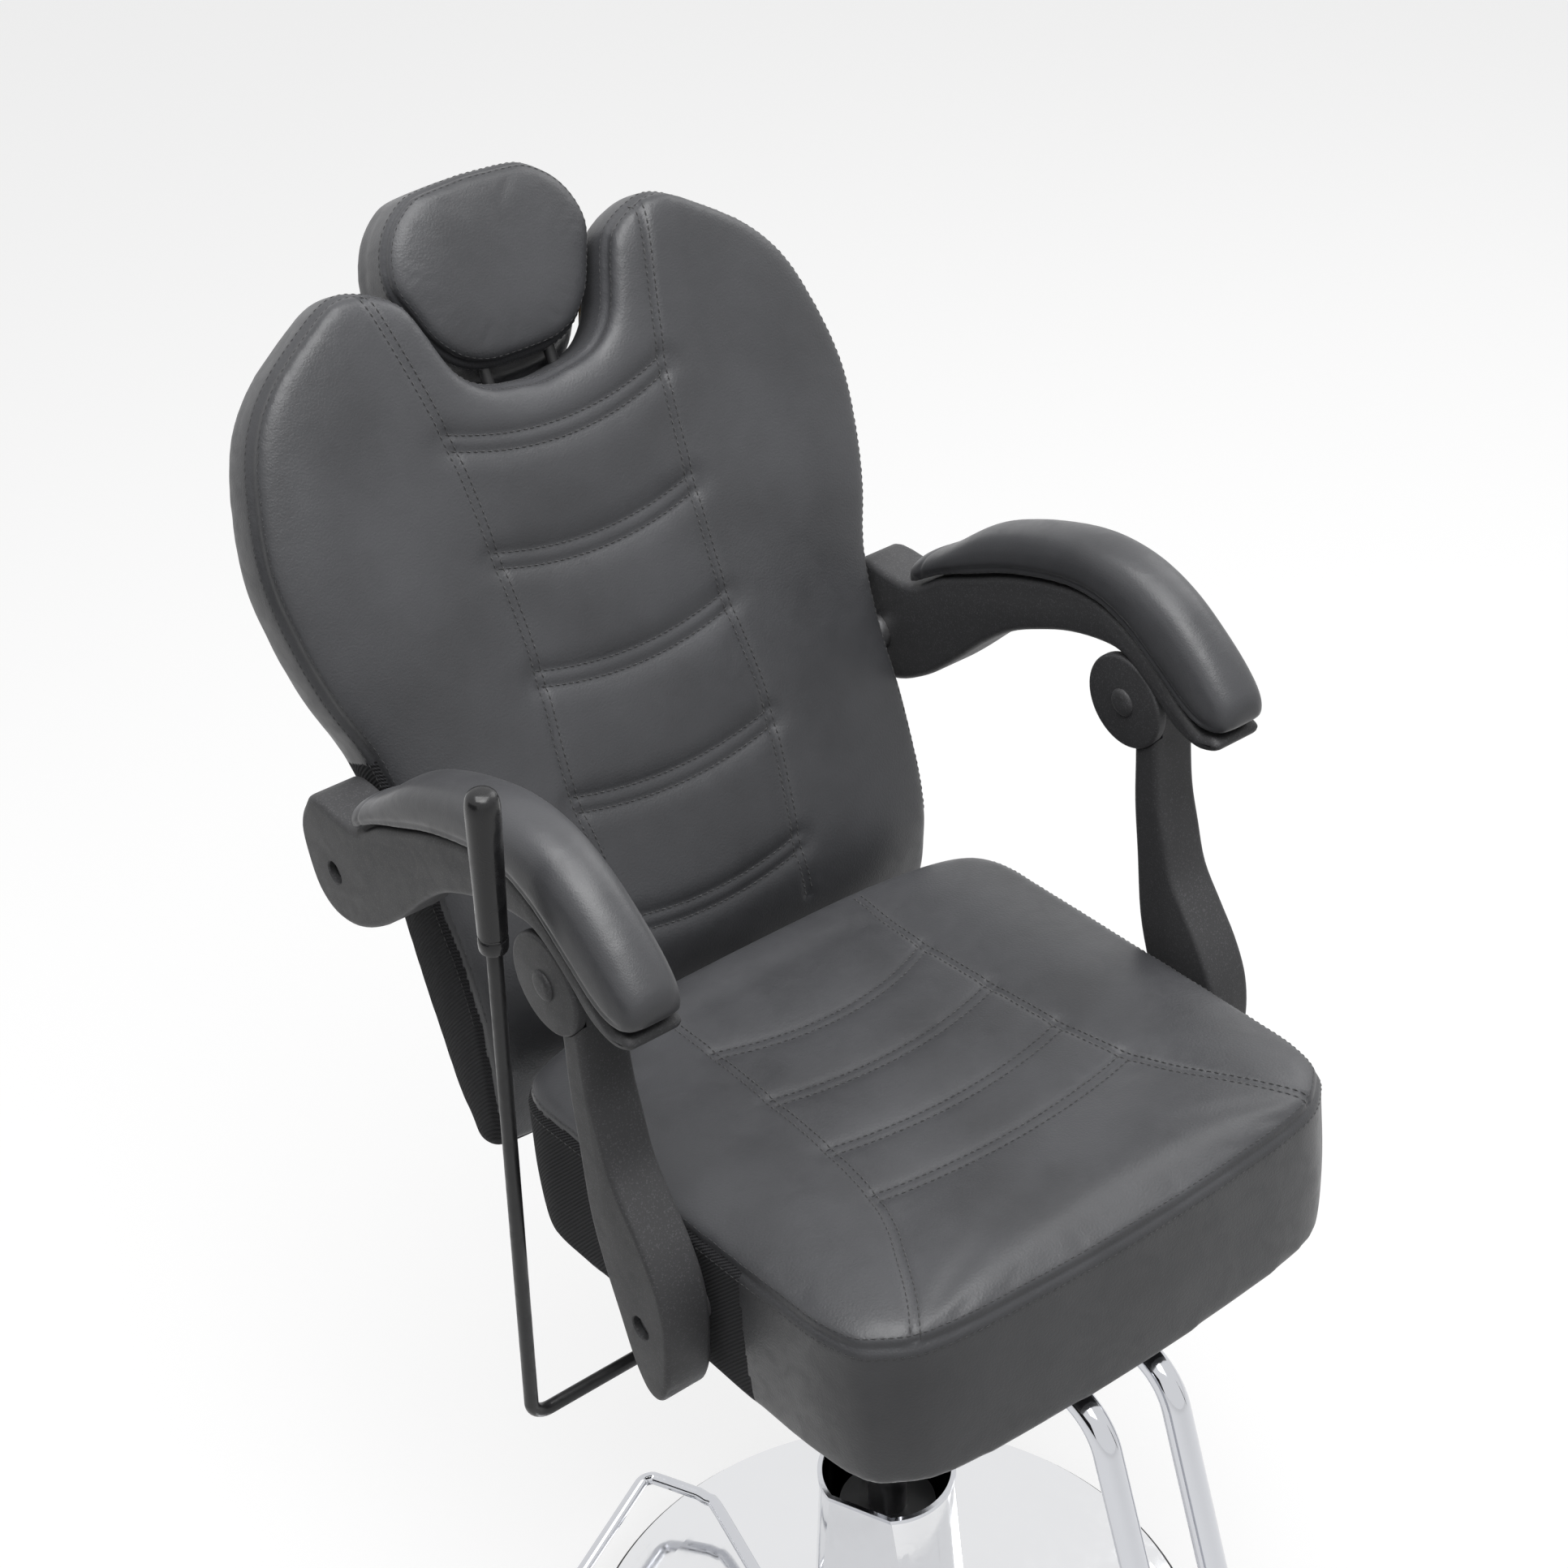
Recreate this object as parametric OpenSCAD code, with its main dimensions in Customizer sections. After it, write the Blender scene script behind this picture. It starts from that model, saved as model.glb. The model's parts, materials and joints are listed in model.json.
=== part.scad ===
// Reclining barber chair on a hydraulic pump: pitched seat, parallel arm
// linkage that lays back with the backrest, sliding headrest and chrome base.
// Millimetres, +Z up, -Y is the sitter's front. The origin is on the floor,
// on the axis of the pump column.

/* [Stance] */
// Height of the line where the seat meets the back, above the floor
crease_h = 740; // [700:1:780]
// Distance of that line behind the column axis
crease_y = 167; // [155:1:175]
// Upward pitch of the seat toward the front, degrees
seat_pitch = 4.5; // [3:0.5:6]
// Lean of the back from upright, degrees
back_lean = 25.2; // [22:0.1:28]

/* [Linkage] */
// Recline hinge behind the crease
hinge_y = 45; // [43:1:50]
// Recline hinge below the crease
hinge_drop = 118; // [116:1:124]
// Rear arm pivot behind the crease
arm_pivot_y = 122; // [116:1:126]
// Rear arm pivot above the crease
arm_pivot_z = 148; // [144:1:152]
// Reach of the arm from its rear pivot to the knuckle
arm_reach = 300; // [294:1:306]
// Rise of the arm as a share of its reach
arm_rise_share = 0.25333; // [0.24:0.002:0.266]

/* [Seat] */
// Width of the seat cushion
seat_w = 474; // [466:1:476]
// Depth of the seat cushion, crease to front seam
seat_d = 464; // [455:1:480]
// Thickness of the seat cushion below its seam line
seat_t = 134; // [126:1:142]
// Rise of the seat crown over its seam line
seat_crown = 14; // [8:1:18]
// Depth of the sewn channels in the seat
seat_groove = 4; // [2:0.5:6]

/* [Back] */
// How much wider the back is than the seat
back_extra = 66; // [56:1:72]
// Height of the back cushion above the crease, up its slope
back_h = 588; // [580:1:600]
// Drop of the back cushion below the crease, down its slope
back_drop = 102; // [98:1:106]
// Thickness of the back at its top
back_top_t = 62; // [58:1:68]
// Half width of the cut-out for the hinge at the bottom of the back
hinge_gap_half = 140; // [134:1:150]
// Depth of the sewn channels in the back
back_groove = 4; // [2:0.5:6]

/* [Headrest] */
// Width of the headrest cushion
head_w = 182; // [176:1:186]
// Height of the headrest cushion
head_h = 158; // [150:1:160]
// Thickness of the headrest cushion
head_t = 74; // [68:1:80]
// Travel of the headrest up the back
head_travel = 80; // [40:1:80]
// Diameter of a headrest post
post_d = 10; // [8:1:12]

/* [Arms] */
// Gap between the side of the seat and the arm rail
arm_gap = 4; // [4:0.5:6]
// Thickness of the arm rail
arm_t = 46; // [46:1:52]
// Thickness of the strut
strut_t = 40; // [36:1:42]
// Radius of the knuckle disc as a share of the arm's reach
knuckle_share = 0.13; // [0.124:0.002:0.14]
// Diameter of the pivot bolts
pivot_d = 12; // [10:1:14]

/* [Base] */
// Radius of the base plate
base_r = 262; // [250:1:270]
// Thickness of the base plate
base_t = 6; // [5:1:8]
// Height of the top of the base cover
base_cover_h = 36; // [32:1:40]
// Radius of the pump cylinder
pump_r = 42; // [38:1:44]
// Height of the top of the pump cylinder
pump_h = 232; // [220:1:236]
// Height of the rim of the pump cover
cover_h = 270; // [262:1:276]
// Radius of the pump cover at its rim
cover_r = 58; // [56:1:60]
// Distance of the two flats of the pump cover from its axis
cover_flat = 50; // [49:1:53]
// Diameter of the piston rod
rod_d = 24; // [20:1:26]

/* [Lever, pedal and footrest] */
// Diameter of the recline lever rod
lever_d = 11; // [10:1:12]
// Distance of the lever from the centre plane
lever_x = 318; // [310:1:330]
// Diameter of the pedal rod
pedal_d = 12; // [10:1:14]
// Height of the pedal above the floor
pedal_h = 60; // [56:1:66]
// Diameter of a footrest tube
foot_d = 22; // [20:1:25]
// Distance of a footrest tube from the centre plane
foot_x = 34; // [30:1:40]
// Length of the footrest cross bar
foot_bar_l = 300; // [260:1:340]

/* [Fits] */
// Radial clearance of a turning fit
run_fit = 0.05; // [0.02:0.01:0.08]
// Clearance between faces that pass each other
pass_gap = 0.5; // [0.3:0.1:0.8]
// Clearance round hardware inside a cushion
foam_gap = 0.6; // [0.3:0.1:1]

/* [Hidden] */
$fn = 64;
leather = [0.16, 0.165, 0.18];
nylon = [0.2, 0.2, 0.21];
chrome = [0.8, 0.81, 0.83];
black = [0.08, 0.08, 0.09];
steel = [0.45, 0.45, 0.47];
ply = [0.6, 0.47, 0.3];
over = 1;
dust_gap = 0.1;
// Linkage points as [y, z]: hinge, rear arm pivot, knuckle and strut foot
arm_rise = arm_reach * arm_rise_share;
arm_in = seat_w / 2 + arm_gap;
knuckle_r = arm_reach * knuckle_share;
back_w = seat_w + back_extra;
pa = [crease_y + hinge_y, crease_h - hinge_drop];
pb = [crease_y + arm_pivot_y, crease_h + arm_pivot_z];
pc = pb + [-arm_reach, arm_rise];
pd = pa + [-arm_reach, arm_rise];

// Places
module at_seat() translate([0, crease_y, crease_h]) rotate([-seat_pitch, 0, 0]) children();
back_off = 7.5;
module at_back() translate([0, crease_y + back_off, crease_h]) rotate([-back_lean, 0, 0]) children();
module both() { children(); mirror([1, 0, 0]) children(); }
module at_yz(p) translate([0, p[0], p[1]]) children();
// A disc, bar or plate whose axis or thickness lies along X, from x0 to x1
module rod_x(r, x0, x1) translate([x0, 0, 0]) rotate([0, 90, 0]) cylinder(r = r, h = x1 - x0);
module slab_x(points, x0, x1)
    translate([x0, 0, 0]) rotate([90, 0, 90]) linear_extrude(x1 - x0) polygon(points);
module box(a, b) translate(a) cube(b - a);
// World point [y, z] in the axes of the seat or of the back
function to_seat(p) = let (y = p[0] - crease_y, z = p[1] - crease_h)
    [y * cos(seat_pitch) - z * sin(seat_pitch), y * sin(seat_pitch) + z * cos(seat_pitch)];
function to_back(p) = let (y = p[0] - crease_y - back_off, z = p[1] - crease_h)
    [y * cos(back_lean) - z * sin(back_lean), y * sin(back_lean) + z * cos(back_lean)];
// Two rounds of corner cutting turn an outline's corners into curves
function cut(p) = let (n = len(p)) [for (i = [0:n - 1], t = [0.25, 0.75]) p[i] + (p[(i + 1) % n] - p[i]) * t];
function eased(p) = cut(cut(p));
function turned(p, a) = [p[0] * cos(a) - p[1] * sin(a), p[0] * sin(a) + p[1] * cos(a)];

// Closed lofts from rings of equal count, each ring starting on the centre
// plane; the ends close as ladders between points that face each other.
function mirrored(half) = concat(half, [for (i = [len(half) - 2:-1:1]) [-half[i][0], half[i][1], half[i][2]]]);
function wall_faces(n, m) = [for (k = [0:m - 2], i = [0:n - 1], t = [0, 1])
    let (a = k * n + i, b = k * n + (i + 1) % n)
    t == 0 ? [a, b, b + n] : [a, b + n, a + n]];
// Rungs between pairs of a ring: pairs is a list of [i, j]
function rungs(pairs) = [for (k = [0:len(pairs) - 2], t = [0, 1])
    let (a = pairs[k], b = pairs[k + 1])
    t == 0 ? [a[0], a[1], b[0]] : [b[0], a[1], b[1]]];
function clean(faces) = [for (f = faces) if (f[0] != f[1] && f[1] != f[2] && f[0] != f[2]) f];
function flip(faces) = [for (f = faces) [f[2], f[1], f[0]]];
function shift(faces, d) = [for (f = faces) [f[0] + d, f[1] + d, f[2] + d]];
module loft(rings, cap) {
    n = len(rings[0]);
    m = len(rings);
    low = clean(cap);
    polyhedron([for (r = rings) each r],
        concat(wall_faces(n, m), flip(low), shift(low, n * (m - 1))), convexity = 8);
}
// A V-shaped groove along points on a surface whose outward normal is up
module groove(points, up, wide, deep) {
    n = len(points);
    side = [for (i = [0:n - 1]) let (t = points[min(i + 1, n - 1)] - points[max(i - 1, 0)],
        s = cross(t, up)) s / norm(s) * wide / 2];
    lift = up * deep;
    polyhedron([for (i = [0:n - 1]) each [points[i] + side[i] * 2 + lift,
            points[i] - side[i] * 2 + lift, points[i] - up * deep]],
        concat([for (i = [0:n - 2], k = [0:2], t = [0, 1])
            let (a = 3 * i + k, b = 3 * i + (k + 1) % 3)
            t == 0 ? [a, b, b + 3] : [a, b + 3, a + 3]],
            [[2, 1, 0], [3 * n - 3, 3 * n - 2, 3 * n - 1]]), convexity = 4);
}

// Seat cushion. Outline shares are [of half width, of depth from the crease]
seat_outline_shares = [[0, -0.013], [0.46, -0.009], [0.76, 0.01], [0.94, 0.045], [1, 0.11],
    [1, 0.2], [0.996, 0.31], [0.99, 0.42], [0.987, 0.53], [0.983, 0.65], [0.975, 0.76],
    [0.968, 0.84], [0.935, 0.907], [0.885, 0.935], [0.79, 0.968], [0.63, 0.985],
    [0.48, 0.991], [0.32, 0.996], [0.16, 0.999], [0, 1]];
// Rings: [inset share of the half width, drop share of the thickness, rise share]
seat_ring_shares = [[0.06, 1, 0], [0.012, 0.97, 0], [-0.004, 0.55, 0], [0.004, 0.12, 0],
    [0, 0, 0], [0.035, 0, 0.5], [0.1, 0, 0.82], [0.24, 0, 1], [0.4, 0, 0.96],
    [0.54, 0, 0.78], [0.62, 0, 0.8]];
seat_spine_shares = [0.2, 0.72];
function seat_ring(s) = mirrored([for (p = seat_outline_shares)
    let (y = p[1] * seat_d, t = max(seat_spine_shares[0] * seat_d, min(seat_spine_shares[1] * seat_d, y)))
    [p[0] * seat_w / 2 * (1 - s[0]), -(y + (t - y) * s[0]),
        -seat_seam - s[1] * (seat_t - seat_seam) + s[2] * seat_crown]]);
seat_seam = 5;
seat_n = 2 * (len(seat_outline_shares) - 1);
seat_pairs = [for (i = [0:len(seat_outline_shares) - 1]) [(seat_n - i) % seat_n, i]];
seat_top = -seat_seam + 0.79 * seat_crown;
// Sewn lines of the seat: side seams, then the four double channels
seat_seam_shares = [[0.49, 0.06], [0.451, 0.213], [0.456, 0.37], [0.477, 0.534], [0.54, 0.657],
    [0.61, 0.735], [0.71, 0.851], [0.76, 0.93]];
seat_channel_shares = [[0.43, 0.237], [0.44, 0.405], [0.468, 0.575], [0.523, 0.733]];
seat_bow_share = 0.045;
channel_gap = 17;
channel_wide = 3;
channel_steps = 8;
module seat_lines() {
    for (c = seat_channel_shares, k = [0, 1])
        groove([for (i = [-channel_steps:2:channel_steps]) let (t = i / channel_steps)
            [t * c[0] * seat_w / 2, -c[1] * seat_d - seat_bow_share * seat_d * (1 - t * t)
                + k * channel_gap, seat_top]], [0, 0, 1], channel_wide, seat_groove);
    both() groove([for (p = seat_seam_shares) [p[0] * seat_w / 2, -p[1] * seat_d, seat_top]],
        [0, 0, 1], channel_wide, seat_groove);
}
board_t = 12;
frame_half = 120;
module seat_cushion() color(leather) at_seat() difference() {
    loft([for (s = seat_ring_shares) seat_ring(s)], rungs(seat_pairs));
    seat_lines();
    seat_board_blank(foam_gap);
    mount_blocks(foam_gap);
}
// The plywood seat board, as shares of the cushion
seat_board_shares = [0.86, 0.06, 0.92];
module seat_board_blank(gap)
    box([-seat_board_shares[0] * seat_w / 2 - gap, -seat_board_shares[2] * seat_d - gap,
            -seat_t - (gap > 0 ? over : 0)],
        [seat_board_shares[0] * seat_w / 2 + gap, -seat_board_shares[1] * seat_d + gap,
            -seat_t + board_t + gap]);
bolt_d = 8;
seat_bolt_x = 108;
seat_bolt_shares = [0.3325, 0.937];
module seat_bolt_places() both() for (s = seat_bolt_shares)
    translate([seat_bolt_x, s * (front_wall_y - crease_y), 0]) children();
module seat_board() color(ply) at_seat() difference() {
    seat_board_blank(0);
    seat_bolt_places() translate([0, 0, -seat_t - over]) cylinder(d = bolt_d + 2 * run_fit, h = board_t + 2 * over);
}
dust_t = 1.5;
dust_share = 0.965;
module seat_dust_cover() color(black) at_seat() difference() {
    translate([0, 0, -seat_t - dust_t]) linear_extrude(dust_t)
        polygon([for (p = mirrored([for (q = seat_outline_shares) [q[0], q[1], 0]]))
            [p[0] * dust_share * seat_w / 2 * (1 - seat_ring_shares[0][0]), -(p[1] + (0.5 - p[1])
                * seat_ring_shares[0][0]) * seat_d]]);
    box([-frame_half - pass_gap, front_wall_y - crease_y - pass_gap, -seat_t - dust_t - over],
        [frame_half + pass_gap, seat_d, -seat_t + over]);
}

// Back cushion. Outline shares are [of half width, of height], from the notch
// round a lobe and down the side; the last four drop below the crease.
lobe_top = 8;
notch_last = 2 * lobe_top;
back_outline_shares = [[0, 0.818], [0.133, 0.827], [0.204, 0.84], [0.263, 0.869], [0.296, 0.908],
    [0.322, 0.942], [0.36, 0.973], [0.46, 0.996], [0.548, 1], [0.68, 0.966], [0.815, 0.92],
    [0.907, 0.864], [0.963, 0.79], [0.998, 0.7], [0.985, 0.61], [0.945, 0.52], [0.885, 0.44],
    [0.856, 0.34], [0.85, 0.22], [0.837, 0.085]];
back_low_shares = [[0.822, 0.2], [0.8, 0.7], [0.76, 0.96], [0.4, 1], [0, 1]];
back_outline = concat([for (p = back_outline_shares) [p[0] * back_w / 2, p[1] * back_h]],
    [for (p = back_low_shares) [p[0] * back_w / 2, -p[1] * back_drop]]);
// Points that the front closes toward: down each lobe, then the centre line
lobe_spine_shares = [[0.58, 0.88], [0.56, 0.86], [0.54, 0.83], [0.52, 0.79], [0.49, 0.75], [0.45, 0.71],
    [0.38, 0.67], [0.25, 0.62], [0, 0.56]];
back_spine = [for (i = [0:len(back_outline) - 1]) i <= notch_last
    ? [lobe_spine_shares[abs(i - lobe_top)][0] * back_w / 2, lobe_spine_shares[abs(i - lobe_top)][1] * back_h]
    : [0, max(-0.55 * back_drop, min(0.5 * back_h, back_outline[i][1]))]];
// Depth behind the front plane at heights up the slope: seam, crown and rear
edge_depth_shares = [[-0.18, 1.75], [-0.13, 1.31], [-0.034, 0.74], [0.05, 0.37], [0.14, 0.2], [0.24, 0.17],
    [0.36, 0.24], [1, 0.27]];
crown_depth_shares = [[-0.18, 1.68], [-0.1, 1.07], [-0.034, 0.5], [0.034, 0.12], [0.1, 0], [1, 0]];
rear_depth_shares = [[-0.18, 2.16], [-0.094, 2.11], [0.366, 1.22], [1, 1]];
function depth_at(table, u) = back_top_t * lookup(u / back_h, table);
// Rings: [inset share, share from seam to rear, rise share]
back_ring_shares = [[0.05, 1, 0], [0.01, 0.97, 0], [-0.012, 0.5, 0], [-0.006, 0.12, 0], [0, 0, 0],
    [0.04, 0, 0.5], [0.11, 0, 0.85], [0.27, 0, 1.1], [0.44, 0, 1.05], [0.58, 0, 0.8], [0.68, 0, 0.85]];
function back_ring(s) = mirrored([for (i = [0:len(back_outline) - 1])
    let (p = back_outline[i] + (back_spine[i] - back_outline[i]) * s[0],
        e = depth_at(edge_depth_shares, p[1]), f = depth_at(crown_depth_shares, p[1]),
        r = depth_at(rear_depth_shares, p[1]))
    [p[0], e + (r - e) * s[1] - (e - f) * s[2], p[1]]]);
back_n = 2 * (len(back_outline) - 1);
back_pairs = [for (i = [notch_last:len(back_outline) - 1]) [i, (back_n - i) % back_n]];
lobe_pairs = [for (j = [0:lobe_top]) [lobe_top - j, lobe_top + j]];
far_lobe_pairs = [for (j = [0:lobe_top]) [back_n - lobe_top - j, (back_n - lobe_top + j) % back_n]];
back_cap = concat(rungs(lobe_pairs), rungs(far_lobe_pairs), [[0, notch_last, back_n - notch_last]],
    rungs([for (p = back_pairs) [p[1], p[0]]]));
// Sewn lines of the back: long seams, then the five double channels
back_seam_shares = [[0.463, 0.99], [0.37, 0.79], [0.341, 0.627], [0.33, 0.461], [0.352, 0.298],
    [0.315, 0.104], [0.326, 0.01]];
back_channel_shares = [[0.365, 0.793], [0.34, 0.629], [0.332, 0.463], [0.35, 0.287], [0.32, 0.104]];
back_bow_share = 0.03;
back_panel_depth_share = 0.05;
module back_lines() {
    for (c = back_channel_shares, k = [0, 1])
        groove([for (i = [-channel_steps:2:channel_steps]) let (t = i / channel_steps)
            [t * c[0] * back_w / 2, back_panel_depth_share * back_top_t,
                (c[1] - back_bow_share * (1 - t * t)) * back_h - k * channel_gap]],
            [0, -1, 0], channel_wide, back_groove);
    both() groove([for (p = back_seam_shares) [p[0] * back_w / 2,
        back_panel_depth_share * back_top_t, p[1] * back_h]], [0, -1, 0], channel_wide, back_groove);
}
module back_cushion() color(leather) at_back() difference() {
    loft([for (s = back_ring_shares) back_ring(s)], back_cap);
    back_lines();
    box([-hinge_gap_half, -back_top_t, -2 * back_drop],
        [hinge_gap_half, back_top_t * 3, -hinge_gap_share * back_drop]);
    back_board_blank(foam_gap);
    arm_block(foam_gap);
    mirror([1, 0, 0]) arm_block(foam_gap);
    guide_block(foam_gap);
    posts(post_d + 2 * foam_gap, head_travel);
}
hinge_gap_share = 0.6;
// The plywood board follows the bent rear face; its outline is the cushion's, drawn in
board_inset_share = 0.9;
board_heart_share = 0.45;
board_line_shares = [-0.09, 0.366, 1];
module back_board_blank(gap) intersection() {
    slab_x(concat(
        [for (s = board_line_shares) [depth_at(rear_depth_shares, s * back_h)
            + (gap > 0 ? back_board_t : 0), s * back_h]],
        [for (i = [2:-1:0]) let (s = board_line_shares[i])
            [depth_at(rear_depth_shares, s * back_h) - back_board_t - gap, s * back_h]]),
        -back_w / 2, back_w / 2);
    rotate([90, 0, 0]) translate([0, 0, -back_top_t * 4]) linear_extrude(back_top_t * 8)
        polygon([for (i = [0:2 * len(back_outline_shares) - 2])
            let (j = i < len(back_outline_shares) ? i : 2 * len(back_outline_shares) - 1 - i,
                side = i < len(back_outline_shares) ? 1 : -1, p = back_outline[j])
            [side * (p[0] * board_inset_share + (p[0] == 0 ? 0 : j < lobe_top ? -gap : gap)),
                board_heart_share * back_h + (p[1] - board_heart_share * back_h) * board_inset_share
                    + (j <= lobe_top + 4 ? gap : 0)
                    - (j > len(back_outline_shares) - 2 ? back_h * board_foot_share : 0)]]);
}
board_foot_share = 0.2;
back_board_t = 12;
module back_board() color(ply) at_back() difference() {
    back_board_blank(0);
    back_bolt_places() rod_y(bolt_d / 2 + run_fit, -3 * back_board_t, 3 * back_board_t);
}
// A round bar along the depth of the back
module rod_y(r, y0, y1) translate([0, y0, 0]) rotate([-90, 0, 0]) cylinder(r = r, h = y1 - y0);
rear_slope = atan((rear_depth_shares[1][1] - rear_depth_shares[2][1]) * back_top_t
    / ((rear_depth_shares[2][0] - rear_depth_shares[1][0]) * back_h));

// Headrest: a loft from rear to front in the axes of the back
head_outline_shares = [[0, 1], [0.45, 0.985], [0.62, 0.955], [0.82, 0.86], [0.955, 0.72], [1, 0.55],
    [0.9, 0.37], [0.78, 0.2], [0.58, 0.07],
    [0.33, 0.01], [0, 0]];
head_foot = 487;
head_front_v = 35;
// How far the seam of the front panel lies above the foot of the cushion, and the rear lip below it
head_tuck = 14;
// Rings: [inset share, depth share of the thickness behind the seam, rise share, tuck share]
head_ring_shares = [[0.15, 0.86, 0, -1.2], [0.03, 0.8, 0, -1.2], [-0.005, 0.47, 0, -1.2], [-0.01, 0.435, 0, 0],
    [-0.01, 0.12, 0, 0.7], [0, 0, 0, 1], [0.07, 0, 0.5, 1], [0.2, 0, 0.8, 1], [0.45, 0, 0.97, 1], [0.8, 0, 1, 1]];
head_crown_share = 0.2;
function head_ring(s) = mirrored([for (p = head_outline_shares)
    let (m = [0, 0.5], q = p + (m - p) * s[0], tuck = s[3] * head_tuck)
    [q[0] * head_w / 2, head_front_v + s[1] * head_t - s[2] * head_crown_share * head_t,
        head_foot + tuck + q[1] * (head_h - tuck)]]);
head_n = 2 * (len(head_outline_shares) - 1);
head_pairs = [for (i = [0:len(head_outline_shares) - 1]) [(head_n - i) % head_n, i]];
head_plate_t = 4;
head_plate_shares = [0.5, 0.3, 0.75];
module head_plate_blank(gap) box([-head_plate_shares[0] * head_w / 2 - gap, post_v + post_d / 2 + run_fit,
        head_foot + head_plate_shares[1] * head_h - gap],
    [head_plate_shares[0] * head_w / 2 + gap, post_v + post_d / 2 + run_fit + head_plate_t + gap,
        head_foot + head_plate_shares[2] * head_h + gap]);
post_x = 30;
post_v = 47;
post_foot = 330;
module posts(d, drop) both() translate([post_x, post_v, post_foot - (drop > 0 ? pass_gap : 0)])
    cylinder(d = d, h = head_foot + 0.7 * head_h - post_foot);
module headrest_cushion() color(leather) at_back() difference() {
    loft([for (s = head_ring_shares) head_ring(s)], rungs(head_pairs));
    posts(post_d + 2 * foam_gap, 0);
    head_plate_blank(foam_gap);
}
module headrest_plate() color(steel) at_back() head_plate_blank(0);
module headrest_posts() color(chrome) at_back() posts(post_d, 0);
guide_z = [370, 450];
guide_x = 42;
module guide_block(gap) box([-guide_x - gap, post_v - post_d - gap, guide_z[0] - gap],
    [guide_x + gap, depth_at(rear_depth_shares, guide_z[1]) - back_board_t - pass_gap / 5 + gap, guide_z[1] + gap]);
module headrest_guide() color(steel) at_back() difference() {
    guide_block(0);
    both() translate([post_x, post_v, guide_z[0] - over])
        cylinder(d = post_d + 2 * run_fit, h = guide_z[1] - guide_z[0] + 2 * over);
}

// Armrest: the rail outline as [y, z] shares of the reach from the rear pivot
rail_shares = [[0.15, -0.02], [0.16, 0.07], [0.12, 0.15], [0.06, 0.2], [-0.14, 0.207], [-0.27, 0.29],
    [-0.41, 0.357], [-0.54, 0.417], [-0.67, 0.463], [-0.79, 0.493], [-0.89, 0.497], [-1.007, 0.463],
    [-1.123, 0.393], [-1.2, 0.33], [-1.267, 0.293], [-1.313, 0.3], [-1.335, 0.285], [-1.32, 0.262],
    [-1.26, 0.245], [-1.18, 0.265], [-1.1, 0.325], [-1, 0.385], [-0.92, 0.39], [-0.79, 0.36],
    [-0.67, 0.31], [-0.557, 0.25], [-0.447, 0.163], [-0.307, 0.03], [-0.2, -0.06], [-0.08, -0.13],
    [0.03, -0.15], [0.11, -0.11]];
rail = eased([for (s = rail_shares) pb + s * arm_reach]);
head_r = 30;
button_r = 11.5;
ear_t = 10;
counter_d = 19;
counter_deep = 14;
knuckle_d = 10;
module arm_shell() color(nylon) difference() {
    union() {
        slab_x(rail, arm_in, arm_in + arm_t);
        at_yz(pc) rod_x(knuckle_r, arm_in, arm_in + arm_t);
    }
    at_yz(pc) rod_x(knuckle_r + pass_gap, arm_in + ear_t, arm_in + arm_t - ear_t);
    at_yz(pc) rod_x(knuckle_d / 2 + run_fit, arm_in - over, arm_in + arm_t + over);
    at_yz(pb) rod_x(pivot_d / 2 + run_fit, arm_in - over, arm_in + arm_t + over);
    at_yz(pb) rod_x(counter_d / 2, arm_in + arm_t - counter_deep, arm_in + arm_t + over);
}
// Bolt with a domed button on each end of the knuckle
button_t = 3;
module knuckle_bolt() color(black) at_yz(pc) {
    rod_x(knuckle_d / 2, arm_in - button_t / 2, arm_in + arm_t + button_t / 2);
    for (x = [arm_in - button_t, arm_in + arm_t]) rod_x(button_r, x, x + button_t);
}
// Soft pad: stations along the rail as [y share, seam z share, top z share]
pad_in = seat_w / 2;
pad_w = 55;
pad_station_shares = [[-0.135, 0.225, 0.262], [-0.16, 0.226, 0.3], [-0.27, 0.297, 0.375], [-0.41, 0.364, 0.485],
    [-0.54, 0.424, 0.55], [-0.67, 0.47, 0.598], [-0.79, 0.5, 0.63], [-0.9, 0.504, 0.64], [-1.01, 0.47, 0.63],
    [-1.12, 0.4, 0.592], [-1.22, 0.335, 0.525], [-1.3, 0.308, 0.45], [-1.345, 0.32, 0.41], [-1.36, 0.34, 0.37]];
// Section round the pad as [x share, height share], from the inner seam over the top
pad_section_shares = [[0.03, 0], [0, 0.2], [0.01, 0.45], [0.07, 0.72], [0.2, 0.91], [0.38, 0.99], [0.5, 1],
    [0.62, 0.99], [0.8, 0.91], [0.93, 0.72], [0.99, 0.45], [1, 0.2], [0.97, 0]];
function pad_end(i) = i == 0 || i == len(pad_station_shares) - 1 ? 0.72 : i == 1
    || i == len(pad_station_shares) - 2 ? 0.93 : 1;
module arm_pad() color(leather) {
    n = len(pad_section_shares);
    polyhedron([for (i = [0:len(pad_station_shares) - 1], c = pad_section_shares)
        let (s = pad_station_shares[i], w = pad_end(i))
        [pad_in + pad_w * (0.5 + (c[0] - 0.5) * w), pb[0] + s[0] * arm_reach,
            pb[1] + pass_gap + (s[1] + (s[2] - s[1]) * c[1]) * arm_reach]],
        concat(flip(wall_faces(n, len(pad_station_shares))),
            [for (k = [1:n - 2]) [0, k, k + 1]],
            [for (k = [1:n - 2]) let (b = n * (len(pad_station_shares) - 1)) [b, b + k + 1, b + k]]));
}
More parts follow.
